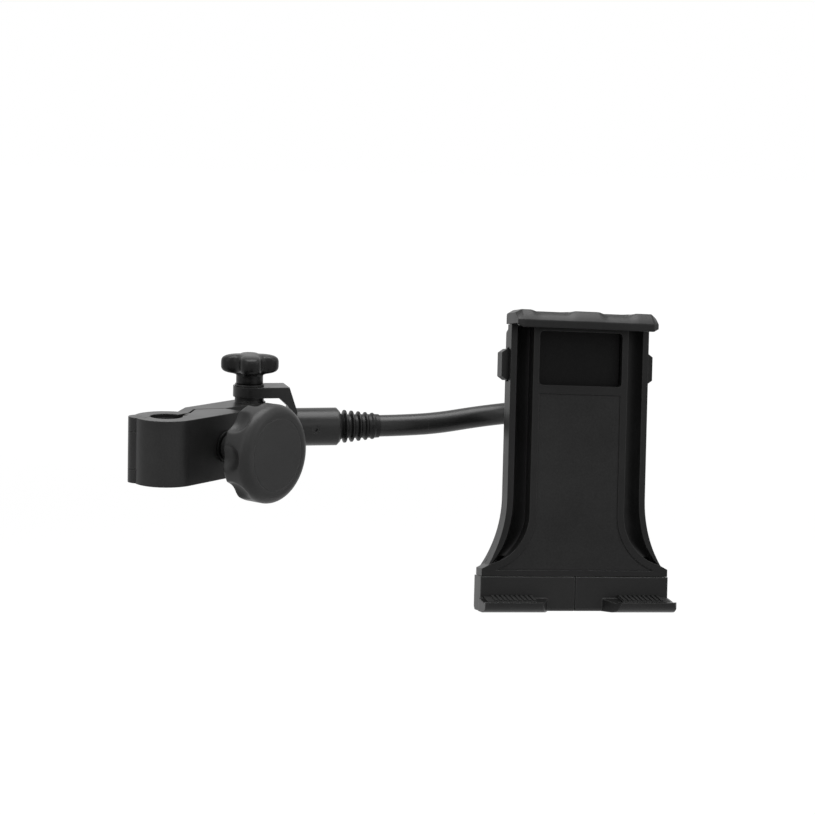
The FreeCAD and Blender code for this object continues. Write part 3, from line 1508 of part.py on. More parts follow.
def foot(name, side):
    """One half of the base bar with its rail, hooked tray and hollow back."""
    top = number_of(rail_low) - number_of(size.running_gap)
    low = top - number_of(size.foot_height)
    wide = number_of(size.base_half_width) + 0.4
    seam = 0.25
    depth = number_of(size.foot_depth)
    wall = number_of(size.foot_wall)
    bar = side_profile(
        [(0.0, top), (0.0, low + 1.5), (1.5, low), (depth - 2.0, low), (depth, low + 2.0), (depth, top)],
        seam, wide,
    )
    bar = bar.cut(block(seam + wall, wall + 0.4, low + wall, wide - wall, depth + 1, top - wall))
    reach = number_of(size.hook_reach)
    floor = top - number_of(size.tray_drop)
    lip = top - number_of(size.tray_lip_drop)
    thickness = number_of(size.tray_thickness)
    inner_tip = number_of(size.hook_inner_tip)
    hook = side_profile(
        [(1.0, low), (1.0, floor), (-reach + 3.6, floor - 2.4), (-reach + 2.0, lip + 0.2), (-reach - 0.6, lip + 0.2, 8.5),
         (-reach + 7.5, low)],
        number_of(size.hook_inner), wide + 0.9,
    )
    slant = plate_level(
        [(number_of(size.hook_inner) - 1, 2.0), (number_of(size.hook_inner), 0.0), (inner_tip, -reach - 3.0),
         (number_of(size.hook_inner) - 1, -reach - 3.0)], low - 1, top,
    )
    corner = plate_level(
        [(wide + 1.6, -reach + 2.0), (wide - 2.0, -reach - 1.6), (wide + 1.6, -reach - 1.6)], low - 1, top
    )
    hook = hook.cut([slant, corner])
    rail = block(RAIL_INNER, RAIL_FRONT, top - 1.0, RAIL_OUTER, RAIL_BACK, rail_top)
    bead = block(RAIL_INNER, BEAD_FRONT, number_of(rail_top) - BEAD_DROP, RAIL_OUTER, BEAD_BACK, rail_top)
    shape = bar.fuse([hook, rail, bead]).removeSplitter()
    if side < 0:
        shape = mirror_x(shape)
    solid(name, shape, CRADLE_FRAME)
    base = side_profile(
        [(-0.2, floor + 0.05), (-0.2, floor + 1.0), (-reach + 4.2, floor - 1.3), (-reach + 4.2, floor - 2.25)],
        inner_tip + 1.5, wide - 2.0,
    )
    base = base.cut(slant)
    pitch = number_of(size.foot_rib_pitch)
    ribs = []
    for index in range(int((wide - 4.0 - inner_tip) / pitch)):
        start = inner_tip + 2.0 + pitch * index
        ribs.append(side_profile(
            [(-0.6, floor + 0.8), (-0.6, floor + 1.9), (-reach + 4.8, floor - 0.3), (-reach + 4.8, floor - 1.5)],
            start, start + pitch * 0.5,
        ))
    tread = base.fuse(ribs).removeSplitter()
    if side < 0:
        tread = mirror_x(tread)
    solid(name + "_pad", tread, CRADLE_FRAME)


def plate_level(corners, low_z, high_z):
    """Solid between two heights from a closed outline of (x, y) corners."""
    points = [FreeCAD.Vector(x, y, low_z) for x, y in corners]
    face = Part.Face(Part.makePolygon(points + [points[0]]))
    return face.extrude(FreeCAD.Vector(0, 0, high_z - low_z))


rear_jaw()
front_jaw()
liner("rear_jaw_liner", 12.0, 116.0)
liner("front_jaw_liner", 158.0, 306.0)
clamp_pieces()
clamp_knob()
swivel_washers()
swivel_fork()
swivel_bolt()
star_knob()
arm_pieces()
tip_pieces()
lock_ring()
cradle_front()
cradle_back()
round_screws(
    "cover_screws",
    [(side * x, z) for side in (1, -1) for x, z in screw_places],
    number_of(size.front_thickness) - 1.9,
    number_of(size.front_thickness + size.cover_thickness) - 1.9,
    CRADLE_FRAME,
)
grip_pad()
top_slide()
top_jaw()
round_screws(
    "jaw_screws",
    [(x, number_of(jaw_low) + 3.0) for x in JAW_SCREWS],
    number_of(slide_front) + 1.2,
    number_of(size.jaw_back) - 1.8,
    CRADLE_FRAME,
)
button("left_button", -1)
button("right_button", 1)
button_spring("left_button_spring", -1)
button_spring("right_button_spring", 1)
foot("left_foot", -1)
foot("right_foot", 1)

doc.recompute()
for thing in doc.Objects:
    if "Invalid" in thing.State or "Error" in thing.State:
        raise RuntimeError(f"{thing.Label} is in state {thing.State}")
for node in nodes:
    if node.Shape.isNull() or not node.Shape.isValid():
        raise RuntimeError(f"{node.Label} has no valid shape")

os.makedirs("parts", exist_ok=True)
for node in nodes:
    node.Shape.exportStep(os.path.join("parts", node.Label + ".step"))
    box = node.Shape.BoundBox
    print(f"{node.Label}: {len(node.Shape.Solids)} solids, {node.Shape.Volume:.0f} mm3, "
          f"x {box.XMin:.1f} {box.XMax:.1f}, y {box.YMin:.1f} {box.YMax:.1f}, z {box.ZMin:.1f} {box.ZMax:.1f}")
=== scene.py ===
import math

import bpy
from mathutils import Matrix, Vector


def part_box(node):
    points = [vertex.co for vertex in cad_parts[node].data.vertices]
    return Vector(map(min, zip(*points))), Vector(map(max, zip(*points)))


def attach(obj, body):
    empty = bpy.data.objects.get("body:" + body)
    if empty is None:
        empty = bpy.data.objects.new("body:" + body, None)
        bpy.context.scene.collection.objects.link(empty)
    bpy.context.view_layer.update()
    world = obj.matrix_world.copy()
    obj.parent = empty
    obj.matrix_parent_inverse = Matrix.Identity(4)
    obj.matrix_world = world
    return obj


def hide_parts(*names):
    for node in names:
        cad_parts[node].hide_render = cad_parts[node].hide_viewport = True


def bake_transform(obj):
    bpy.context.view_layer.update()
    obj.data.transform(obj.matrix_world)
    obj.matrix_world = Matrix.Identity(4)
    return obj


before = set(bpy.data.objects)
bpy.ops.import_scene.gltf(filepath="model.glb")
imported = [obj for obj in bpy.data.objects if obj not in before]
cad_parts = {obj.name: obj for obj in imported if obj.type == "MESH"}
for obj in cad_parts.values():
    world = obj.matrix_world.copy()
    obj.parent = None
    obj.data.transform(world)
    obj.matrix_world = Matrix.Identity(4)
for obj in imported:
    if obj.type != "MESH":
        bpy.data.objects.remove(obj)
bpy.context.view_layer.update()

MM = 0.001


def placed(name, data):
    """Adds an object with this data to the scene."""
    thing = bpy.data.objects.new(name, data)
    bpy.context.scene.collection.objects.link(thing)
    return thing


# Materials: every surface has its own grain, tone, edge wear and painted edge highlight, made from the
# object's own coordinates

FLOW_SCALE = 28.0
PATCH_SCALE = 160.0
GRAIN_DEPTH = 0.05 * MM
STREAK_DEPTH = 0.02 * MM
BEVEL_SAMPLES = 4
EDGE_UNEVENNESS = 0.12


def node_tree(name):
    """New material with an empty principled shader."""
    material = bpy.data.materials.new(name)
    material.use_nodes = True
    nodes = material.node_tree.nodes
    nodes.clear()
    output = nodes.new("ShaderNodeOutputMaterial")
    shader = nodes.new("ShaderNodeBsdfPrincipled")
    material.node_tree.links.new(shader.outputs["BSDF"], output.inputs["Surface"])
    return material, nodes, material.node_tree.links, shader


def noise(nodes, links, coordinates, scale, detail=4.0, roughness=0.55):
    texture = nodes.new("ShaderNodeTexNoise")
    texture.inputs["Scale"].default_value = scale
    texture.inputs["Detail"].default_value = detail
    texture.inputs["Roughness"].default_value = roughness
    links.new(coordinates, texture.inputs["Vector"])
    return texture.outputs["Fac"]


def ramp(nodes, links, source, stops):
    """Colour ramp; each stop is a place and a colour or a grey."""
    element = nodes.new("ShaderNodeValToRGB")
    bands = element.color_ramp.elements
    while len(bands) < len(stops):
        bands.new(0.5)
    for band, (place, colour) in zip(bands, stops):
        if not isinstance(colour, tuple):
            colour = (colour, colour, colour)
        band.position = place
        band.color = (*colour, 1.0)
    links.new(source, element.inputs["Fac"])
    return element.outputs["Color"]


def rounded_normal(nodes, radius):
    """Surface normal that turns softly over each edge."""
    bevel = nodes.new("ShaderNodeBevel")
    bevel.samples = BEVEL_SAMPLES
    bevel.inputs["Radius"].default_value = radius
    return bevel.outputs["Normal"]


def bumped(nodes, links, height, strength, distance, normal):
    bump = nodes.new("ShaderNodeBump")
    bump.inputs["Strength"].default_value = strength
    bump.inputs["Distance"].default_value = distance
    links.new(height, bump.inputs["Height"])
    links.new(normal, bump.inputs["Normal"])
    return bump.outputs["Normal"]


def edge_wear_and_painted_highlight(nodes, links, rounded, patches, amount):
    """Lighter tone in patches along the edges, where the rounded normal leaves the face's own: partly
    wear, partly a painted highlight.
    """
    geometry = nodes.new("ShaderNodeNewGeometry")
    likeness = nodes.new("ShaderNodeVectorMath")
    likeness.operation = "DOT_PRODUCT"
    links.new(rounded, likeness.inputs[0])
    links.new(geometry.outputs["Normal"], likeness.inputs[1])
    uneven = nodes.new("ShaderNodeMath")
    uneven.operation = "MULTIPLY_ADD"
    uneven.inputs[1].default_value = EDGE_UNEVENNESS
    links.new(patches, uneven.inputs[0])
    links.new(likeness.outputs["Value"], uneven.inputs[2])
    return ramp(nodes, links, uneven.outputs["Value"], [(0.84, amount), (0.99, 0.0)])


def added(nodes, links, base, extra):
    """Sum of two colours."""
    mix = nodes.new("ShaderNodeMix")
    mix.data_type = "RGBA"
    mix.blend_type = "ADD"
    mix.inputs["Factor"].default_value = 1.0
    links.new(base, mix.inputs["A"])
    links.new(extra, mix.inputs["B"])
    return mix.outputs["Result"]


def moulded(name, dark, light, rough, spark, edge_radius, level, grain=1400.0, relief=0.35, edge_wear_and_highlight=0.02):
    """Moulded plastic or rubber: spark-eroded grain, faint flow marks, softly rounded edges, and edges
    lightened in patches as wear and painted highlight.
    """
    material, nodes, links, shader = node_tree(name)
    place = nodes.new("ShaderNodeTexCoord").outputs["Object"]
    flow = noise(nodes, links, place, FLOW_SCALE, 3.0)
    fine = noise(nodes, links, place, grain, 5.0, 0.6)
    tone = ramp(nodes, links, flow, [(0.3, dark), (0.7, light)])
    speckle = ramp(nodes, links, fine, [(0.35, 0.0), (0.75, spark)])
    rounded = rounded_normal(nodes, edge_radius)
    # lighter patches along the edges: partly wear, partly painted highlight
    worn_and_highlit_edges = edge_wear_and_painted_highlight(nodes, links, rounded, noise(nodes, links, place, PATCH_SCALE), edge_wear_and_highlight)
    links.new(added(nodes, links, added(nodes, links, tone, speckle), worn_and_highlit_edges), shader.inputs["Base Color"])
    gloss = ramp(nodes, links, flow, [(0.25, rough - 0.05), (0.75, rough + 0.06)])
    links.new(gloss, shader.inputs["Roughness"])
    shader.inputs["Specular IOR Level"].default_value = level
    links.new(bumped(nodes, links, fine, relief, GRAIN_DEPTH, rounded), shader.inputs["Normal"])
    return material


def metal(name, dark, light, rough, along=(1.0, 1.0, 14.0), edge_radius=0.25 * MM):
    """Turned or drawn metal: fine streaks along the work and small dull patches."""
    material, nodes, links, shader = node_tree(name)
    place = nodes.new("ShaderNodeTexCoord").outputs["Object"]
    stretch = nodes.new("ShaderNodeMapping")
    stretch.inputs["Scale"].default_value = along
    links.new(place, stretch.inputs["Vector"])
    streaks = noise(nodes, links, stretch.outputs["Vector"], 900.0, 3.0)
    patches = noise(nodes, links, place, 120.0, 3.0)
    links.new(ramp(nodes, links, streaks, [(0.3, dark), (0.7, light)]), shader.inputs["Base Color"])
    shader.inputs["Metallic"].default_value = 1.0
    gloss = ramp(nodes, links, patches, [(0.3, rough - 0.05), (0.7, rough + 0.1)])
    links.new(gloss, shader.inputs["Roughness"])
    normal = bumped(nodes, links, streaks, 0.15, STREAK_DEPTH, rounded_normal(nodes, edge_radius))
    links.new(normal, shader.inputs["Normal"])
    return material


# each with its dark and light tone, roughness, speckle, edge radius and strength of gloss, and some with
# the strength of their edge wear and painted edge highlight
clamp_plastic = moulded("clamp_plastic", 0.006, 0.012, 0.34, 0.006, 0.9 * MM, 0.22, edge_wear_and_highlight=0.03)
knob_plastic = moulded("knob_plastic", 0.008, 0.013, 0.40, 0.006, 0.8 * MM, 0.22)
star_plastic = moulded("star_plastic", 0.004, 0.007, 0.36, 0.004, 0.8 * MM, 0.16)
shell_plastic = moulded("shell_plastic", 0.003, 0.006, 0.34, 0.004, 0.6 * MM, 0.17, edge_wear_and_highlight=0.03)
foot_plastic = moulded("foot_plastic", 0.003, 0.006, 0.32, 0.004, 1.3 * MM, 0.2, edge_wear_and_highlight=0.04)
pad_rubber = moulded(
    "pad_rubber", 0.008, 0.013, 0.60, 0.006, 0.4 * MM, 0.12, grain=900.0, relief=0.6, edge_wear_and_highlight=0.015)
relief_rubber = moulded(
    "relief_rubber", 0.003, 0.006, 0.40, 0.003, 0.4 * MM, 0.18, grain=1100.0, relief=0.3)
sleeve_skin = moulded(
    "sleeve_skin", 0.005, 0.009, 0.34, 0.003, 0.3 * MM, 0.27, grain=700.0, relief=0.15)
window_plastic = moulded(
    "window_plastic", 0.002, 0.004, 0.55, 0.003, 0.3 * MM, 0.07, grain=800.0, relief=0.7, edge_wear_and_highlight=0.008)
bright_steel = metal("bright_steel", 0.42, 0.6, 0.28)
dark_steel = metal("dark_steel", 0.02, 0.045, 0.38)
brass = metal("brass", (0.5, 0.34, 0.12), (0.68, 0.5, 0.2), 0.32)

FINISHES = {
    clamp_plastic: ["rear_jaw", "front_jaw", "swivel_fork"],
    knob_plastic: ["clamp_knob", "knob_cap", "lock_ring"],
    star_plastic: ["star_knob"],
    shell_plastic: ["cradle_front", "cradle_back", "top_jaw", "left_button", "right_button"],
    foot_plastic: ["left_foot", "right_foot"],
    window_plastic: ["top_slide"],
    pad_rubber: [
        "grip_pad", "jaw_pad", "left_foot_pad", "right_foot_pad", "rear_jaw_liner", "front_jaw_liner",
    ],
    relief_rubber: ["strain_relief", "swivel_washers"],
    bright_steel: ["clamp_screw", "ball_stud"],
    dark_steel: [
        "hinge_pin", "swivel_bolt", "star_washer", "thrust_washer", "gooseneck_core", "set_screw",
        "cover_screws", "jaw_screws", "end_ferrule", "collar_ferrule", "left_button_spring",
        "right_button_spring",
    ],
    brass: ["thread_insert"],
}


def dress(node, material):
    """Gives a CAD node its material through its object's own slots."""
    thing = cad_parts[node]
    for slot in thing.material_slots:
        slot.link = "OBJECT"
        slot.material = material


for finish, names in FINISHES.items():
    for node_name in names:
        dress(node_name, finish)


# Flexible arm: one smooth sleeve in two lengths, split at one place along the arm

BALL_CENTRE = Vector((262.42, 11.14, 19.95)) * MM
CROOK = Vector((241.0, 69.5, 9.0)) * MM
CROOK_RADIUS = 39.0 * MM
STUD_LENGTH = 21.0 * MM
SLEEVE_RADIUS = 7.2 * MM
ARM_START = Vector((123.0, 56.75, 3.0)) * MM
ARM_POINTS = [
    ARM_START,
    Vector((160.0, 56.75, 3.0)) * MM,
    Vector((190.0, 60.75, 3.5)) * MM,
    CROOK,
    BALL_CENTRE - (BALL_CENTRE - CROOK).normalized() * STUD_LENGTH,
]
SPLIT_X = 182.0 * MM
CORNER_SHARE = 0.46


def run_straight(route, end, step):
    """Lengthens the route in even steps up to a point."""
    tail = route[-1]
    count = max(int((end - tail).length / step), 1)
    for index in range(1, count + 1):
        route.append(tail + (end - tail) * index / count)


def rounded_route(points, last_radius, step=1.2 * MM):
    """Evenly close points along straight runs joined by tangent arcs."""
    route = [points[0]]
    for before, corner, after in zip(points, points[1:], points[2:]):
        first = corner - before
        second = after - corner
        angle = first.angle(second)
        radius = CORNER_SHARE * min(first.length, second.length) / math.tan(angle / 2)
        if after is points[-1]:
            radius = last_radius
        cut = radius * math.tan(angle / 2)
        start = corner - first.normalized() * cut
        end = corner + second.normalized() * cut
        inward = (second.normalized() - first.normalized()).normalized()
        centre = corner + inward * (radius / math.cos(angle / 2))
        run_straight(route, start, step)
        count = max(int(radius * angle / step), 2)
        spoke = start - centre
        axis = spoke.cross(end - centre).normalized()
        for index in range(1, count + 1):
            route.append(centre + Matrix.Rotation(angle * index / count, 3, axis) @ spoke)
    run_straight(route, points[-1], step)
    return route


def tube(name, route, radius, sides=40):
    """Closed round tube along a route, with its rings turned as little as possible."""
    vertices = []
    faces = []
    side = Vector((0, 0, 1))
    for index, point in enumerate(route):
        ahead = route[min(index + 1, len(route) - 1)] - route[max(index - 1, 0)]
        ahead.normalize()
        side = (side - ahead * side.dot(ahead)).normalized()
        other = ahead.cross(side)
        for turn in range(sides):
            angle = 2 * math.pi * turn / sides
            vertices.append(point + (side * math.cos(angle) + other * math.sin(angle)) * radius)
    for ring in range(len(route) - 1):
        for turn in range(sides):
            low = ring * sides
            following = (turn + 1) % sides
            faces.append((low + turn, low + following, low + sides + following, low + sides + turn))
    last = (len(route) - 1) * sides
    for ring, order in ((vertices[:sides], -1), (vertices[last:last + sides], 1)):
        first = len(vertices)
        vertices.extend(ring)
        faces.append(tuple(range(first, first + sides))[::order])
    mesh = bpy.data.meshes.new(name)
    mesh.from_pydata(vertices, [], faces)
    mesh.validate()
    mesh.update()
    for polygon in mesh.polygons:
        polygon.use_smooth = len(polygon.vertices) == 4
    return placed(name, mesh)


def flexible_arm():
    route = rounded_route(ARM_POINTS, CROOK_RADIUS)
    split = next(index for index, point in enumerate(route) if point.x > SPLIT_X)
    root = tube("sleeve_root", route[: split + 1], SLEEVE_RADIUS)
    outer = tube("sleeve_outer", route[split:], SLEEVE_RADIUS)
    for piece in (root, outer):
        piece.data.materials.append(sleeve_skin)
        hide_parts("gooseneck_sleeve", "gooseneck_core")
    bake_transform(root)
    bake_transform(outer)


flexible_arm()


# Knobs: the moulded grips as smooth skins over the same bodies

CLAMP_TURN = math.radians(39.0)
SCREW_ALONG = 34.0 * MM
KNOB_START = 21.8 * MM
KNOB_PROFILE = [
    (0.0, 0.0, 0.0),
    (8.3, 0.0, 0.7),
    (8.3, 17.6, 3.0),
    (11.6, 21.0, 2.5),
    (31.0, 21.0, 2.2),
    (31.0, 40.2, 6.0),
    (23.0, 40.2, 0.15),
    (22.7, 39.9, 0.15),
    (22.4, 40.2, 0.15),
    (0.0, 40.2, 0.0),
]
SCOOPS = 8
SCOOP_RADIUS = 12.2
SCOOP_PLACE = 38.9
SCOOP_LEVEL = 25.8
SWIVEL_AXIS = Vector((62.13, 56.75, 0.0)) * MM
STAR_PHASE = math.radians(-98.0)
LOBES = 4
LOBE_RADIUS = 6.9
LOBE_PLACE = 11.9
VALLEY_RADIUS = 5.6
STAR_NECK_RADIUS = 8.8
STAR_NECK_HEIGHT = 6.6
STAR_HEIGHT = 12.8
STAR_NECK = [
    (8.0, 0.0),
    (8.6, 0.2),
    (STAR_NECK_RADIUS, 0.7),
    (STAR_NECK_RADIUS, 3.0),
    (STAR_NECK_RADIUS, 5.2),
    (STAR_NECK_RADIUS + 0.3, 6.1),
]
STAR_ROWS = 40
STAR_LOWEST = -66.0
STAR_SWEEP = 156.0
STAR_SIDE_POWER = 0.5
STAR_RISE_POWER = 0.55
KNOB_SIDES = 192
STAR_SIDES = 160


def rounded_profile(corners, step=0.5):
    """Close points along a half profile of (radius, height, rounding) corners."""
    points = [Vector(corners[0][:2])]
    for before, corner, after in zip(corners, corners[1:], corners[2:]):
        place = Vector(corner[:2])
        back = (Vector(before[:2]) - place).normalized()
        ahead = (Vector(after[:2]) - place).normalized()
        half = back.angle(ahead) / 2
        cut = corner[2] / math.tan(half)
        centre = place + (back + ahead).normalized() * (corner[2] / math.sin(half))
        start = place + back * cut - centre
        end = place + ahead * cut - centre
        turn = start.angle_signed(end)
        count = max(4, int(abs(turn) * corner[2] / step))
        for index in range(count + 1):
            angle = -turn * index / count
            points.append(centre + Matrix.Rotation(angle, 2) @ start)
    points.append(Vector(corners[-1][:2]))
    route = [points[0]]
    for point in points[1:]:
        gap = point - route[-1]
        count = max(1, math.ceil(gap.length))
        tail = route[-1]
        for index in range(1, count + 1):
            route.append(tail + gap * index / count)
    return route


def smooth_least(first, second, width):
    """The lesser of two values, with a soft passage where they are close."""
    overlap = max(width - abs(first - second), 0.0) / width
    return min(first, second) - overlap * overlap * width / 4


def scooped(radius, height, angle):
    """Radius of the hand knob after the nearest finger scoop has been taken out of it."""
    step = 2 * math.pi / SCOOPS
    away = (angle + step / 2) % step - step / 2
    depth = SCOOP_RADIUS ** 2 - (height - SCOOP_LEVEL) ** 2 - (SCOOP_PLACE * math.sin(away)) ** 2
    if depth <= 0:
        return radius
    return smooth_least(radius, SCOOP_PLACE * math.cos(away) - math.sqrt(depth), 1.0)


def lobed(angle):
    """Radius of the star knob's outline: four lobes joined by hollow arcs."""
    step = 2 * math.pi / LOBES
    away = abs((angle + step / 2) % step - step / 2)
    reach = LOBE_RADIUS + VALLEY_RADIUS
    across = LOBE_PLACE * math.sin(step / 2)
    valley_place = LOBE_PLACE * math.cos(step / 2) + math.sqrt(reach ** 2 - across ** 2)
    centre = Vector((LOBE_PLACE, 0.0))
    other = Vector((math.cos(step / 2), math.sin(step / 2))) * valley_place
    touch = centre + (other - centre) * (LOBE_RADIUS / reach)
    if away < math.atan2(touch.y, touch.x):
        half_chord = math.sqrt(LOBE_RADIUS ** 2 - (LOBE_PLACE * math.sin(away)) ** 2)
        return LOBE_PLACE * math.cos(away) + half_chord
    inward = step / 2 - away
    half_chord = math.sqrt(VALLEY_RADIUS ** 2 - (valley_place * math.sin(inward)) ** 2)
    return valley_place * math.cos(inward) - half_chord


def round_skin(name, rows, place, material, sides):
    """Closed skin through rows of (height, radius by angle) round an axis, with a point at each end."""
    vertices = []
    faces = []
    for height, radius_at in rows[1:-1]:
        for turn in range(sides):
            angle = 2 * math.pi * turn / sides
            radius = radius_at(angle)
            vertices.append(Vector((radius * math.cos(angle), radius * math.sin(angle), height)) * MM)
    for row in range(len(rows) - 3):
        for turn in range(sides):
            low = row * sides
            following = (turn + 1) % sides
            faces.append((low + turn, low + following, low + sides + following, low + sides + turn))
    first = len(vertices)
    top = (len(rows) - 3) * sides
    vertices.append(Vector((0.0, 0.0, rows[0][0])) * MM)
    vertices.append(Vector((0.0, 0.0, rows[-1][0])) * MM)
    for turn in range(sides):
        following = (turn + 1) % sides
        faces.append((first, following, turn))
        faces.append((first + 1, top + turn, top + following))
    mesh = bpy.data.meshes.new(name)
    mesh.from_pydata([place @ vertex for vertex in vertices], [], faces)
    mesh.validate()
    for polygon in mesh.polygons:
        polygon.use_smooth = True
    mesh.materials.append(material)
    return placed(name, mesh)


def hand_knob():
    along = Vector((math.cos(CLAMP_TURN), math.sin(CLAMP_TURN), 0.0))
    outward = Vector((math.sin(CLAMP_TURN), -math.cos(CLAMP_TURN), 0.0))
    axes = Matrix((along, Vector((0.0, 0.0, 1.0)), outward)).transposed()
    place = Matrix.Translation(along * SCREW_ALONG + outward * KNOB_START) @ axes.to_4x4()
    rows = [
        (point.y, lambda angle, point=point: scooped(point.x, point.y, angle))
        for point in rounded_profile(KNOB_PROFILE)
    ]
    piece = round_skin("hand_knob_grip", rows, place, knob_plastic, KNOB_SIDES)
    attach(piece, "hand_knob")
    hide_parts("clamp_knob", "knob_cap")


def star_grip():
    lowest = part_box("star_knob")[0]
    middle = STAR_NECK_HEIGHT + STAR_HEIGHT / 2
    rows = [(0.0, lambda angle: 0.0)]
    for radius, height in STAR_NECK:
        rows.append((height, lambda angle, radius=radius: radius))
    for index in range(STAR_ROWS + 1):
        swing = math.radians(STAR_LOWEST + STAR_SWEEP * index / STAR_ROWS)
        share = abs(math.cos(swing)) ** STAR_SIDE_POWER
        rise = math.copysign(abs(math.sin(swing)) ** STAR_RISE_POWER, swing) * STAR_HEIGHT / 2
        rows.append((middle + rise, lambda angle, share=share: share * lobed(angle - STAR_PHASE)))
    place = Matrix.Translation(SWIVEL_AXIS + Vector((0.0, 0.0, lowest[2])))
    piece = round_skin("star_grip", rows, place, star_plastic, STAR_SIDES)
    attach(piece, "star")
    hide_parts("star_knob")


hand_knob()
star_grip()


# Top jaw: a sloping brow with mitred ends, a lip that hangs down and two scoops along its top edge

CRADLE_FRAME = (
    Matrix.Translation(Vector((262.05, -24.0, 15.4)) * MM)
    @ Matrix.Rotation(math.radians(-9.0), 4, "X")
    @ Matrix.Rotation(math.radians(2.1), 4, "Y")
)
JAW_HALF_WIDTH = 47.3
JAW_FRONT = -15.6
JAW_BACK = 10.9
JAW_LIP_BOTTOM = 61.2
JAW_LOW = 63.8
JAW_FACE_TOP = 65.4
JAW_HIGH = 72.8
JAW_MITRE = 3.6
JAW_SCOOPS = [(-38.0, -7.4), (7.4, 34.0)]
SCOOP_EASE = 6.0
SCREW_PLACES = (-18.0, 18.0)
SCREW_RISE = 3.0
SCREW_HEAD_RADIUS = 3.1 * MM
SCREW_HEAD_DEPTH = 1.7 * MM
DRILL_SIDES = 40
FINE_STATION = 0.6
COARSE_STATION = 1.2
SHARP_EDGE = math.radians(32)


def eased(value):
    """Smooth step from 0 to 1."""
    value = min(max(value, 0.0), 1.0)
    return value * value * (3 - 2 * value)


def softened(corners):
    """Closed outline whose corners (y, z, reach) are replaced by short curves."""
    points = []
    for index, corner in enumerate(corners):
        place = Vector(corner[:2])
        back = Vector(corners[index - 1][:2]) - place
        ahead = Vector(corners[(index + 1) % len(corners)][:2]) - place
        start = place + back.normalized() * min(corner[2], back.length * 0.45)
        end = place + ahead.normalized() * min(corner[2], ahead.length * 0.45)
        points.append(start + back.normalized() * min(0.2, back.length * 0.04))
        for share in (0.0, 0.2, 0.4, 0.6, 0.8, 1.0):
            points.append(start.lerp(place, share).lerp(place.lerp(end, share), share))
        points.append(end + ahead.normalized() * min(0.2, ahead.length * 0.04))
    return points


def jaw_section(along):
    """Outline of the brow, in depth and height, at a place along its width."""
    mitre = max(0.0, JAW_MITRE - (JAW_HALF_WIDTH - abs(along)))
    scoop = sum(eased(min(along - low, high - along) / SCOOP_EASE) for low, high in JAW_SCOOPS)
    top = JAW_HIGH - mitre * 0.6
    front = JAW_FRONT + mitre * 0.65
    bottom = JAW_LIP_BOTTOM + mitre * 0.5
    return softened([
        (front, bottom, 1.0),
        (-12.6, bottom, 0.7),
        (-11.8, JAW_LOW, 0.6),
        (JAW_BACK, JAW_LOW, 0.6),
        (JAW_BACK, top - 0.3 * scoop, 2.2),
        (4.0, top - 0.3 * scoop, 0.6),
        (3.0, top - 0.05 - 3.4 * scoop, 1.0),
        (-6.5, top - 0.05 - 3.4 * scoop, 1.0),
        (-8.8 + mitre * 0.65, top - 1.5 * scoop, 0.9),
        (-10.0 + mitre * 0.65, top - 0.3 - 1.5 * scoop, 1.2),
        (-13.4 + mitre * 0.65, (top + JAW_FACE_TOP) / 2 - 0.1 - 0.5 * scoop, 2.0),
        (front, JAW_FACE_TOP + 0.4 + mitre * 0.1, 0.7),
    ])


def drilled(piece, centre, axis, radius, depth):
    """Takes a round blind hole out of a mesh."""
    sides = DRILL_SIDES
    axes = axis.to_track_quat("Z", "Y").to_matrix().to_4x4()
    place = Matrix.Translation(centre) @ axes
    angles = [2 * math.pi * turn / sides for turn in range(sides)]
    vertices = [
        place @ Vector((radius * math.cos(angle), radius * math.sin(angle), z))
        for z in (-depth, depth)
        for angle in angles
    ]
    faces = [tuple(range(sides))[::-1], tuple(range(sides, 2 * sides))]
    for turn in range(sides):
        following = (turn + 1) % sides
        faces.append((turn, following, sides + following, sides + turn))
    mesh = bpy.data.meshes.new("drill")
    mesh.from_pydata(vertices, [], faces)
    drill = placed("drill", mesh)
    cut = piece.modifiers.new("hole", "BOOLEAN")
    cut.operation = "DIFFERENCE"
    cut.solver = "EXACT"
    cut.object = drill
    bpy.context.view_layer.update()
    graph = bpy.context.evaluated_depsgraph_get()
    result = bpy.data.meshes.new_from_object(piece.evaluated_get(graph))
    piece.modifiers.remove(cut)
    piece.data = result
    bpy.data.objects.remove(drill)


def jaw_brow():
    stations = []
    place = -JAW_HALF_WIDTH
    while place < JAW_HALF_WIDTH:
        stations.append(place)
        near_end = JAW_HALF_WIDTH - abs(place) < JAW_MITRE + 1
        place += FINE_STATION if near_end else COARSE_STATION
    stations.append(JAW_HALF_WIDTH)
    rows = [[(along, y, z) for y, z in jaw_section(along)] for along in stations]
    count = len(rows[0])
    vertices = [CRADLE_FRAME @ (Vector(point) * MM) for row in rows for point in row]
    faces = []
    for row in range(len(rows) - 1):
        for index in range(count):
            low = row * count
            following = (index + 1) % count
            faces.append((low + index, low + count + index, low + count + following, low + following))
    faces.append(tuple(range(count)))
    faces.append(tuple(range((len(rows) - 1) * count, len(rows) * count))[::-1])
    mesh = bpy.data.meshes.new("jaw_brow")
    mesh.from_pydata(vertices, [], faces)
    mesh.validate()
    piece = placed("jaw_brow", mesh)
    back = (CRADLE_FRAME.to_3x3() @ Vector((0.0, 1.0, 0.0))).normalized()
    for screw in SCREW_PLACES:
        centre = CRADLE_FRAME @ (Vector((screw, JAW_BACK, JAW_LOW + SCREW_RISE)) * MM)
        drilled(piece, centre, back, SCREW_HEAD_RADIUS, SCREW_HEAD_DEPTH)
    for polygon in piece.data.polygons:
        polygon.use_smooth = True
    piece.data.set_sharp_from_angle(angle=SHARP_EDGE)
    piece.data.materials.clear()
    piece.data.materials.append(shell_plastic)
    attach(piece, "jaw_slide")
    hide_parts("top_jaw")


jaw_brow()


# Studio: white floor and surroundings, soft lamps above and at the sides

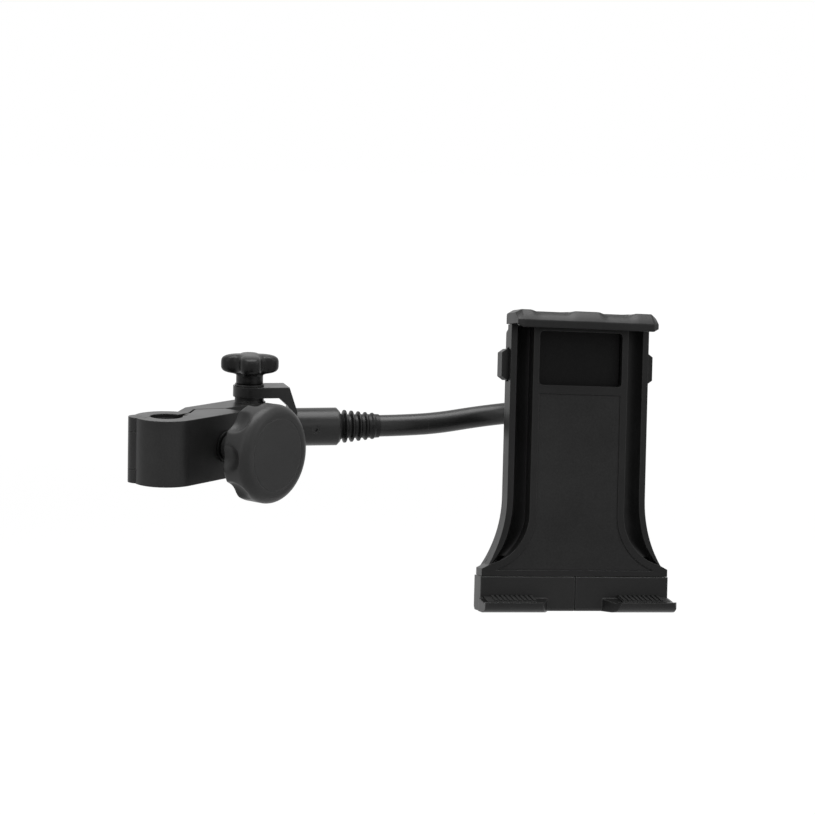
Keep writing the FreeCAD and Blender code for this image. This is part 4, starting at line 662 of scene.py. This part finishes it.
WHITE = (1.0, 1.0, 1.0, 1.0)
FLOOR_GREY = (0.86, 0.86, 0.86, 1.0)
FLOOR_ROUGHNESS = 0.9
FLOOR_LEVEL = -0.34
FLOOR_REACH = 12.0
FLOOR_GLOW = 1.04
FLOOR_DIRECT = 0.84
FADE_START = 0.9
FADE_END = 2.6
SEEN_STRENGTH = 1.0
DIFFUSE_STRENGTH = 0.3
TARGET = Vector((0.15, 0.0, 0.0))
LAMPS = [
    ("top_lamp", (0.15, 0.05, 1.3), 1.4, 1.0, 31.0),
    ("left_lamp", (-1.2, -0.7, 0.7), 0.9, 1.2, 5.0),
    ("right_lamp", (1.3, -0.5, 0.6), 0.8, 1.2, 5.0),
    ("front_lamp", (0.1, -1.6, 0.9), 1.0, 0.6, 3.0),
]
CAMERA_PLACE = Vector((-0.172, -1.217, 0.224))
CAMERA_YAW = math.radians(15.0)
CAMERA_PITCH = math.radians(-9.0)
CAMERA_ROLL = math.radians(1.8)
PHOTO_SIDE = 815
FOCAL_PIXELS = 2000
SENSOR = 36.0


def camera():
    ahead = Vector((
        math.sin(CAMERA_YAW) * math.cos(CAMERA_PITCH),
        math.cos(CAMERA_YAW) * math.cos(CAMERA_PITCH),
        math.sin(CAMERA_PITCH),
    ))
    right = Vector((math.cos(CAMERA_YAW), -math.sin(CAMERA_YAW), 0.0))
    up = right.cross(ahead)
    rolled_right = right * math.cos(CAMERA_ROLL) + up * math.sin(CAMERA_ROLL)
    rolled_up = up * math.cos(CAMERA_ROLL) - right * math.sin(CAMERA_ROLL)
    lens = bpy.data.cameras.new("camera")
    lens.sensor_width = SENSOR
    lens.lens = SENSOR * FOCAL_PIXELS / PHOTO_SIDE
    thing = placed("camera", lens)
    axes = Matrix((rolled_right, rolled_up, -ahead)).transposed()
    thing.matrix_world = Matrix.Translation(CAMERA_PLACE) @ axes.to_4x4()
    bpy.context.scene.camera = thing


def area_lamp(name, place, size_x, size_y, power):
    """Soft lamp that faces the object."""
    light = bpy.data.lights.new(name, "AREA")
    light.shape = "RECTANGLE"
    light.size = size_x
    light.size_y = size_y
    light.energy = power
    thing = placed(name, light)
    thing.location = place
    thing.rotation_euler = (TARGET - Vector(place)).to_track_quat("-Z", "Y").to_euler()


def seen_directly(nodes, links):
    """One where a ray comes from the camera, a gloss or a clear surface, and zero elsewhere."""
    path = nodes.new("ShaderNodeLightPath")
    total = path.outputs["Is Camera Ray"]
    for kind in ("Is Glossy Ray", "Is Transmission Ray"):
        larger = nodes.new("ShaderNodeMath")
        larger.operation = "MAXIMUM"
        links.new(total, larger.inputs[0])
        links.new(path.outputs[kind], larger.inputs[1])
        total = larger.outputs["Value"]
    return total


def studio_white():
    """White glow where it is seen, full far away, and a plain diffuse floor for everything else."""
    material, nodes, links, shader = node_tree("studio_floor")
    shader.inputs["Base Color"].default_value = FLOOR_GREY
    shader.inputs["Roughness"].default_value = FLOOR_ROUGHNESS
    glow = nodes.new("ShaderNodeEmission")
    glow.inputs["Strength"].default_value = FLOOR_GLOW
    blend = nodes.new("ShaderNodeMixShader")
    place = nodes.new("ShaderNodeNewGeometry")
    away = nodes.new("ShaderNodeVectorMath")
    away.operation = "LENGTH"
    links.new(place.outputs["Position"], away.inputs[0])
    fade = nodes.new("ShaderNodeMapRange")
    fade.inputs["From Min"].default_value = FADE_START
    fade.inputs["From Max"].default_value = FADE_END
    fade.inputs["To Min"].default_value = FLOOR_DIRECT
    fade.inputs["To Max"].default_value = 1.0
    links.new(away.outputs["Value"], fade.inputs["Value"])
    share = nodes.new("ShaderNodeMath")
    share.operation = "MULTIPLY"
    links.new(seen_directly(nodes, links), share.inputs[0])
    links.new(fade.outputs["Result"], share.inputs[1])
    links.new(share.outputs["Value"], blend.inputs["Fac"])
    links.new(shader.outputs["BSDF"], blend.inputs[1])
    links.new(glow.outputs["Emission"], blend.inputs[2])
    output = next(node for node in nodes if node.type == "OUTPUT_MATERIAL")
    links.new(blend.outputs["Shader"], output.inputs["Surface"])
    return material


def background(nodes, strength):
    white = nodes.new("ShaderNodeBackground")
    white.inputs["Color"].default_value = WHITE
    white.inputs["Strength"].default_value = strength
    return white.outputs["Background"]


def surroundings():
    """White world where it is seen, and a dim one for the light that it gives."""
    world = bpy.data.worlds.new("studio")
    bpy.context.scene.world = world
    world.use_nodes = True
    nodes = world.node_tree.nodes
    links = world.node_tree.links
    nodes.clear()
    blend = nodes.new("ShaderNodeMixShader")
    links.new(seen_directly(nodes, links), blend.inputs["Fac"])
    links.new(background(nodes, DIFFUSE_STRENGTH), blend.inputs[1])
    links.new(background(nodes, SEEN_STRENGTH), blend.inputs[2])
    output = nodes.new("ShaderNodeOutputWorld")
    links.new(blend.outputs["Shader"], output.inputs["Surface"])


def floor():
    mesh = bpy.data.meshes.new("studio_floor")
    sides = ((-1, -1), (1, -1), (1, 1), (-1, 1))
    corners = [(x * FLOOR_REACH, y * FLOOR_REACH, FLOOR_LEVEL) for x, y in sides]
    mesh.from_pydata(corners, [], [(0, 1, 2, 3)])
    mesh.materials.append(studio_white())
    placed("studio_floor", mesh)


camera()
surroundings()
floor()
for lamp in LAMPS:
    area_lamp(*lamp)

bpy.context.scene.view_settings.view_transform = "Standard"
